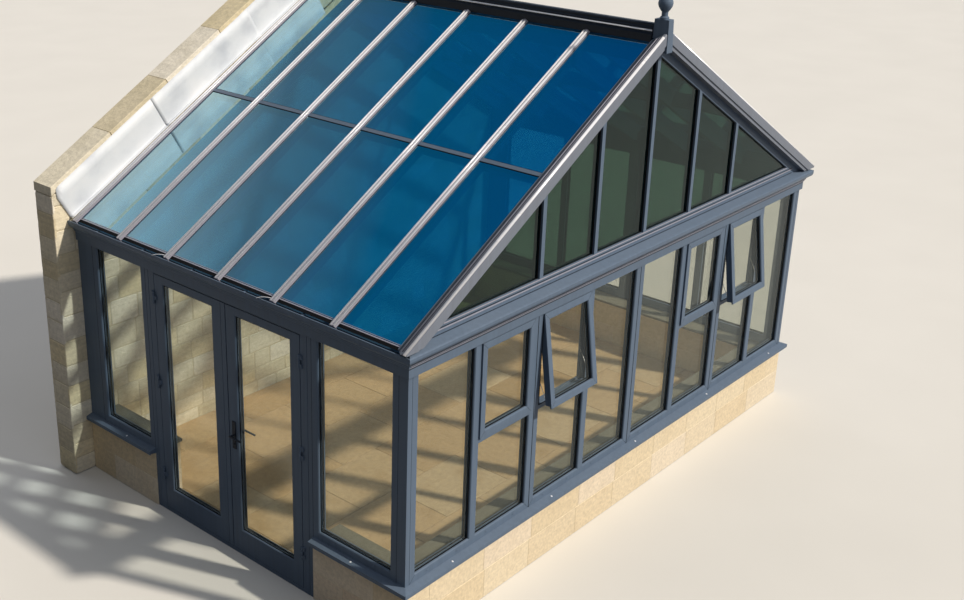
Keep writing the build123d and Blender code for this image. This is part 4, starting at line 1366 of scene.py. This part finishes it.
# %% Mortar core and coping stones
STONES_A_SIDE = 5
core = new_stones()
gable = [
    (0, 0), (wall_length, 0), (wall_length, wall_eaves - top_drop),
    (wall_length / 2, wall_apex - top_drop), (0, wall_eaves - top_drop),
]
through_block(core, on_wall, gable, 20 * MM, 10 * MM - thick, -10 * MM, 4 * MM)
make_piece(core, "rubble_wall_mortar", mortar)

coping = new_stones()
coping_length = wall_length / 2 / math.cos(ROOF_PITCH)
skew = COPING * math.tan(ROOF_PITCH)
for side in (-1, 1):
    foot = Vector((side * wall_length / 2, REAR, wall_eaves))
    lean = Vector((-side * math.cos(ROOF_PITCH), 0, math.sin(ROOF_PITCH)))
    outward = Vector((side * math.sin(ROOF_PITCH), 0, math.cos(ROOF_PITCH)))

    def on_coping(climb, out, lift, foot=foot, lean=lean, outward=outward):
        return foot + lean * climb + outward * (lift - COPING) + Vector((0, -out, 0))

    for number in range(STONES_A_SIDE):
        first = coping_length * number / STONES_A_SIDE
        last = coping_length * (number + 1) / STONES_A_SIDE
        outline = [
            (first - (skew if number == 0 else 0), 0),
            (last - (skew if number == STONES_A_SIDE - 1 else 0), 0),
            (last, COPING), (first, COPING),
        ]
        through_block(coping, on_coping, outline, 5 * MM, -thick, 0, 4 * MM)
make_piece(coping, "gable_coping_stones", limestone)

# %% [markdown]
# Floor. Honed limestone flags lie on the slab in broken bond, 600 mm by 810 mm, with narrow
# grouted joints. The slab's own body, in grout, lies a little lower.

# %% Stone flags inside
FLAG = 600 * MM
FLAG_LONG = 810 * MM
FLAG_THICK = 20 * MM
NARROW_CUT = 120 * MM
GROUT_JOINT = 5 * MM
GROUT_DROP = 3 * MM
floor_top = Vector(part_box("floor_slab")[1]).z
floor_shape = new_stones()


def on_floor(along, out, back):
    """Flat on the slab: along to the right, out upwards and back from the front edge."""
    return Vector((LEFT + along, FRONT + back, floor_top + out))


def lay_flag(along, back, across, deep):
    """One flag with a grouted joint all round."""
    flag = rectangle(along, back, across, deep)
    through_block(floor_shape, on_floor, flag, GROUT_JOINT, -FLAG_THICK, 0, 1.5 * MM)


back = inner
row = 0
while back < DEPTH - MM:
    deep = min(FLAG, DEPTH - back)
    along = inner
    while along < WIDTH - inner - MM:
        left_over = WIDTH - inner - along
        across = FLAG_LONG / 2 if along == inner and row % 2 else FLAG_LONG
        if left_over - across < NARROW_CUT:
            across = left_over
        lay_flag(along, back, across, deep)
        along += across
    back += deep
    row += 1
doorway_back = DEPTH - door_start - DOOR_FRAME
third = DOOR_FRAME / 3
for number in range(3):
    lay_flag(FRAME_DEPTH, doorway_back + third * number, inner - FRAME_DEPTH, third)
floor_flags = make_piece(floor_shape, "floor_flags", flags)
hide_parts("floor_slab")

grout = new_stones()
room = rectangle(inner, inner, WIDTH - 2 * inner, DEPTH - inner)
doorway = rectangle(FRAME_DEPTH, doorway_back, inner - FRAME_DEPTH, DOOR_FRAME)
for area in (room, doorway):
    through_block(grout, on_floor, area, 0, -floor_top, -GROUT_DROP, MM)
make_piece(grout, "floor_grout", grout_mix)

# %% [markdown]
# Lead flashing. Lead moves with heat, so it is laid in pieces no longer than 1.5 m with a lap at
# each joint. Every sheet is folded: a foot over the last bar cap and an upstand on the wall,
# whose top is tucked into a joint. The bend and the free edge are never quite straight.

# %% Lapped lead sheets
LEAD_RISE = 294 * MM
LEAD_FOOT = 38 * MM
LEAD_LINE = 16.5 * MM
LEAD_STOP = 62 * MM
LEAD = 3 * MM
SHEET = 1250 * MM
LAP = 90 * MM
LAP_LIFT = 3.5 * MM
SHORTEST = 200 * MM
CURL = 70 * MM


def lead_sheet(shape, slope, start, end, lift):
    """One folded sheet between two places up the slope, lifted where it laps the one below."""
    steps = max(6, int((end - start) / (30 * MM)))
    section = [
        (LEAD_FOOT, 0.0), (LEAD_FOOT * 0.55, 0.0), (14 * MM, 0.0), (5 * MM, 4 * MM),
        (LEAD, 14 * MM), (LEAD, LEAD_RISE * 0.3), (LEAD, LEAD_RISE * 0.65), (LEAD, LEAD_RISE),
    ]
    shells = []
    for skin in (0.0, 1.0):
        rows = []
        for step in range(steps + 1):
            climb = start + (end - start) * step / steps
            row = []
            for place, (off_wall, rise) in enumerate(section):
                ripple = 1.5 * MM * math.sin(climb * 9 + place * 2.1) + dice.uniform(-0.6, 0.6) * MM
                edge = 2 * MM * math.sin(climb * 5.3) if place == 0 else 0.0
                if rise == 0.0:
                    back = DEPTH - off_wall - edge
                    out = LEAD_LINE + lift + skin * LEAD + abs(ripple) * 0.5
                else:
                    back = DEPTH - 0.8 * MM - lift - skin * LEAD - abs(ripple) * 0.4
                    short = max(0.0, 1 - (climb + 20 * MM) / CURL)
                    free = math.sqrt(max(0.0, 1 - short * short))
                    out = LEAD_LINE + max(rise * (0.12 + 0.88 * free), min(rise, 14 * MM))
                row.append(shape.verts.new(slope(back, out, climb)))
            rows.append(row)
        shells.append(rows)
    # each row of the under side, followed by its row of the upper side back again, is one ring
    join_rings(shape, [under + over[::-1] for under, over in zip(*shells)], closed_ends=False)
    for step in (0, steps):
        under, over = shells[0][step], shells[1][step]
        for place in range(len(section) - 1):
            shape.faces.new((under[place], under[place + 1], over[place + 1], over[place]))


lead_shape = bmesh.new()
for side in (-1, 1):
    slope = on_slope(side)
    top_of_lead = SLOPE_LENGTH - LEAD_STOP
    start = 0.0
    number = 0
    while start < top_of_lead - SHORTEST:
        end = min(start + SHEET, top_of_lead)
        lead_sheet(lead_shape, slope, start, end, LAP_LIFT * (number % 2))
        start = end - LAP if end < top_of_lead else end
        number += 1
flashing = make_piece(lead_shape, "lapped_lead_flashing", lead, smooth=True)
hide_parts("lead_flashings")

# %% [markdown]
# Doors. Each leaf carries its own glass seals, and the right one has a lock cylinder under its
# handle and the two screws of the handle's plate. All of these must swing, so each rides on its
# own leaf.

# %% Door seals and lock parts
DOOR_JAMB = 110 * MM
LEAF_GAP = 6 * MM
MEETING = 10 * MM
STILE = 105 * MM
THRESHOLD = 30 * MM
FALSE_MULLION = 50 * MM
LEAF_THICK = 56 * MM
LEAF_BOTTOM_RAIL = 194 * MM
LEAF_TOP_RAIL = 68 * MM
HANDLE_UP = 1050 * MM
PLATE = 8 * MM
doorway_width = DOOR_FRAME - 2 * DOOR_JAMB
doorway_height = FRAME_TOP - FRAME_FACE - THRESHOLD
leaf_width = (doorway_width - 2 * LEAF_GAP - MEETING - FALSE_MULLION) / 2
leaf_foot = THRESHOLD + LEAF_GAP
leaf_height = doorway_height - 2 * LEAF_GAP
left_leaf = door_start + DOOR_JAMB + LEAF_GAP
right_leaf = left_leaf + leaf_width + FALSE_MULLION + MEETING
for name, start in (("left_door", left_leaf), ("right_door", right_leaf)):
    seal = bmesh.new()
    pane = rectangle(
        start + STILE, leaf_foot + LEAF_BOTTOM_RAIL,
        leaf_width - 2 * STILE, leaf_height - LEAF_BOTTOM_RAIL - LEAF_TOP_RAIL,
    )
    for section in gasket_section((LEAF_THICK - GLASS) / 2, GLASS):
        frame_round(seal, on_left, pane, section)
    make_piece(seal, f"{name}_gaskets", rubber, name)

handle_along = right_leaf + STILE / 2
cylinder = bmesh.new()
for out, facing in ((PLATE, 1), (-LEAF_THICK - PLATE, -1)):
    # the cylinder, then the two screws: place above the lever, radius and height in millimetres
    for rise, radius, height in ((-78, 9, 4), (-104, 4.5, 1.5), (104, 4.5, 1.5)):
        spot = on_left(handle_along, out, HANDLE_UP + rise * MM)
        screw_head(cylinder, spot, Vector((-facing, 0, 0)), radius * MM, height * MM)
make_piece(cylinder, "lock_cylinders", black_coat_and_painted_shade, "right_door", smooth=True)

# %% [markdown]
# The threshold wears first, so a ribbed aluminium tread lies on it, left silver. Its ribs run along
# the opening and give the foot a grip.

# %% Threshold tread
TREAD_END = 14 * MM


def on_threshold(along, out, back):
    """Flat on the threshold: along the opening, out upwards and back into the room."""
    return on_left(along, -back, THRESHOLD + out)


tread = bmesh.new()
first = door_start + DOOR_JAMB + TREAD_END
last = first + doorway_width - 2 * TREAD_END
# the plate and its two ribs: place back from the face, width, foot and height in millimetres
for back, width, out, rise in ((63, 11, 0, 2), (61, 1.4, 2, 0.8), (65, 1.4, 2, 0.8)):
    ends = (first, back * MM), (last, back * MM)
    strip(tread, on_threshold, *ends, width * MM, out * MM, rise * MM)
make_piece(tread, "threshold_tread", silver_and_painted_highlight)

# %% [markdown]
# Vent gear. A top-hung vent is held by a steel stay at each side, and by a cockspur handle inside
# on its bottom rail. They are slim, but the gap of an open vent would look empty without them.

# %% Stays and vent handles
SASH_INSIDE = -38 * MM
STAY_FOOT = 30 * MM
STAY_HEAD = 240 * MM
PULL_UP = 22 * MM
# the handle's bends: run along the rail and lift off it in millimetres
PULL_BENDS = ((0, 0), (0, 16), (12, 26), (60, 26), (96, 22))
gear, pulls = bmesh.new(), bmesh.new()
for number, vent in enumerate(vents):
    along, foot, across, height = vent
    turn = vent_hinge(vent) if stands_ajar(number) else Matrix.Identity(4)
    for x in (along + 7 * MM, along + across - 7 * MM):
        on_sash = turn @ on_front(x, SASH_INSIDE, foot + STAY_FOOT)
        on_frame = on_front(x, SASH_INSIDE - 7 * MM, foot + STAY_HEAD)
        rod(gear, [on_frame, (on_sash + on_frame) / 2, on_sash], 3 * MM)
    centre = along + across / 2
    rod(pulls, [
        turn @ on_front(centre + run * MM, SASH_INSIDE - lift * MM, foot + PULL_UP)
        for run, lift in PULL_BENDS
    ], 6 * MM, 10)
make_piece(gear, "vent_stays", steel, smooth=True)
make_piece(pulls, "vent_handles", silver_and_painted_highlight, smooth=True)

# %% [markdown]
# Gutter brackets. The gutter is hung from strap brackets about every 600 mm. From above they cross
# the dark slot as short bars, halfway between the roof bars.

# %% Gutter straps
STRAP_UP = 2308 * MM
straps = bmesh.new()
lip = LEFT - Vector(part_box("left_eaves_beam")[0]).x
for at in (on_left, on_right):
    def on_gutter(along, out, reach, at=at):
        return at(along, reach, STRAP_UP + out)

    for bar in bars[:-1]:
        middle = bar + BAY / 2
        along = DEPTH - middle if at is on_left else middle
        strip(straps, on_gutter, (along, 2 * MM), (along, lip - 4 * MM), 18 * MM, 0, 2 * MM)
make_piece(straps, "gutter_straps", anthracite)

# %% [markdown]
# The setting is a photographer's: a pale floor without an edge, a key light from the front right
# and a soft sky for fill, with one broad light on the key's side and a weaker one behind. The sky
# shows pale near the horizon and on the wall's side, and blue elsewhere, which is what the roof
# glass mirrors. It gives less light than it shows, so that the key still models the shapes.

# %% Floor, sky and key light
ground_material, tree, output, place = new_material("pale_studio_floor")
mottle = add_node(tree, "ShaderNodeTexNoise", {"Vector": place, "Scale": 0.8, "Detail": 2.0})
tint = add_node(tree, "ShaderNodeValToRGB", {"Fac": mottle.outputs["Fac"]})
set_stops(tint, (0.3, "#dddad4"), (0.7, "#e0ddd7"))
looked_at = ray_share(tree)
seen_tint = add_node(
    tree, "ShaderNodeMix",
    {"Factor": looked_at, "A": hex_colour("#5e5c5a"), "B": tint.outputs["Color"]},
    data_type="RGBA",
)
matt = add_node(
    tree, "ShaderNodeBsdfPrincipled", {"Base Color": seen_tint.outputs["Result"], "Roughness": 0.9}
)
tree.links.new(matt.outputs["BSDF"], output.inputs["Surface"])

FLOOR_RADIUS = 70
ground_shape = bmesh.new()
bmesh.ops.create_circle(ground_shape, cap_ends=True, segments=64, radius=FLOOR_RADIUS)
ground_mesh = bpy.data.meshes.new("studio_floor")
ground_shape.to_mesh(ground_mesh)
ground_shape.free()
ground_mesh.materials.append(ground_material)
studio_floor = bpy.data.objects.new("studio_floor", ground_mesh)
studio_floor.location.z = -1 * MM
bpy.context.scene.collection.objects.link(studio_floor)

world = bpy.data.worlds.new("soft_sky")
bpy.context.scene.world = world
world.use_nodes = True
sky = world.node_tree
sky.nodes.clear()
towards_key = Vector((0.30, -0.75, 0.70)).normalized()
towards_rear = Vector((0.35, 0.85, 0.40)).normalized()
heading = add_node(sky, "ShaderNodeTexCoord").outputs["Generated"]
softboxes = []
for centre, (edge, middle), (dim, bright) in (
    (towards_key, (0.25, 0.95), (0.04, 0.68)), (towards_rear, (0.35, 1.0), (0.0, 0.75)),
):
    nearness = add_node(
        sky, "ShaderNodeVectorMath", {0: heading, 1: tuple(centre)}, operation="DOT_PRODUCT"
    )
    softboxes.append(add_node(
        sky, "ShaderNodeMapRange",
        {"Value": nearness.outputs["Value"], "From Min": edge, "From Max": middle,
         "To Min": dim, "To Max": bright},
    ))
both_softboxes = add_node(
    sky, "ShaderNodeMath",
    {0: softboxes[0].outputs["Result"], 1: softboxes[1].outputs["Result"]}, operation="ADD",
)
fill = add_node(
    sky, "ShaderNodeBackground",
    {"Color": hex_colour("#e6e9f0"), "Strength": both_softboxes.outputs["Value"]},
)
parts = add_node(sky, "ShaderNodeSeparateXYZ", {"Vector": heading})
towards_wall = add_node(
    sky, "ShaderNodeMapRange",
    {"Value": parts.outputs["Y"], "From Min": 0.51, "From Max": 0.80, "To Min": 0.0, "To Max": 1.0},
)
near_horizon = add_node(
    sky, "ShaderNodeMapRange",
    {"Value": parts.outputs["Z"], "From Min": 0.15, "From Max": 0.42, "To Min": 1.0, "To Max": 0.0},
)
paleness = add_node(
    sky, "ShaderNodeMath",
    {0: towards_wall.outputs["Result"], 1: near_horizon.outputs["Result"]}, operation="MAXIMUM",
)
dome = add_node(sky, "ShaderNodeValToRGB", {"Fac": paleness.outputs["Value"]})
set_stops(
    dome,
    (0.0, "#035a92"), (0.45, "#0d6c96"), (0.71, "#6f8a9c"), (0.88, "#c2d3dc"), (1.0, "#fbfdff"),
)
shown = add_node(
    sky, "ShaderNodeBackground", {"Color": dome.outputs["Color"], "Strength": 0.92}
)
choice = add_node(
    sky, "ShaderNodeMixShader",
    {0: ray_share(sky), 1: fill.outputs["Background"], 2: shown.outputs["Background"]},
)
add_node(sky, "ShaderNodeOutputWorld", {"Surface": choice.outputs["Shader"]})

key = bpy.data.lights.new("key", "SUN")
key.energy = 3.5
key.angle = math.radians(2.5)
key.color = hex_colour("#fff6e8")[:3]
key_object = bpy.data.objects.new("key", key)
key_object.rotation_euler = towards_key.to_track_quat("Z", "Y").to_euler()
bpy.context.scene.collection.objects.link(key_object)
print("key light from", tuple(round(value, 2) for value in towards_key))

# %% [markdown]
# The camera stands where the photographer stood: high, off the front left corner. Its place, turn
# and lens were solved from the building's own edges, for an image of 964 by 600 pixels.

# %% Camera
bpy.context.scene.view_settings.view_transform = "Standard"
camera = bpy.data.cameras.new("camera")
camera.sensor_width = 36
camera.lens = 46.905
camera.shift_x = 0.083
camera.shift_y = -0.046
camera.clip_end = 200
camera_object = bpy.data.objects.new("camera", camera)
rightward = Vector((0.67306, -0.73946, 0.01405))
forward = Vector((0.69368, 0.62457, -0.35878))
upward = rightward.cross(forward)
turn = Matrix((rightward, upward, -forward)).transposed().to_4x4()
camera_object.matrix_world = Matrix.Translation((-8.1537, -6.681, 5.7475)) @ turn
bpy.context.scene.collection.objects.link(camera_object)
bpy.context.scene.camera = camera_object
print("camera at", tuple(round(value, 3) for value in camera_object.matrix_world.translation))
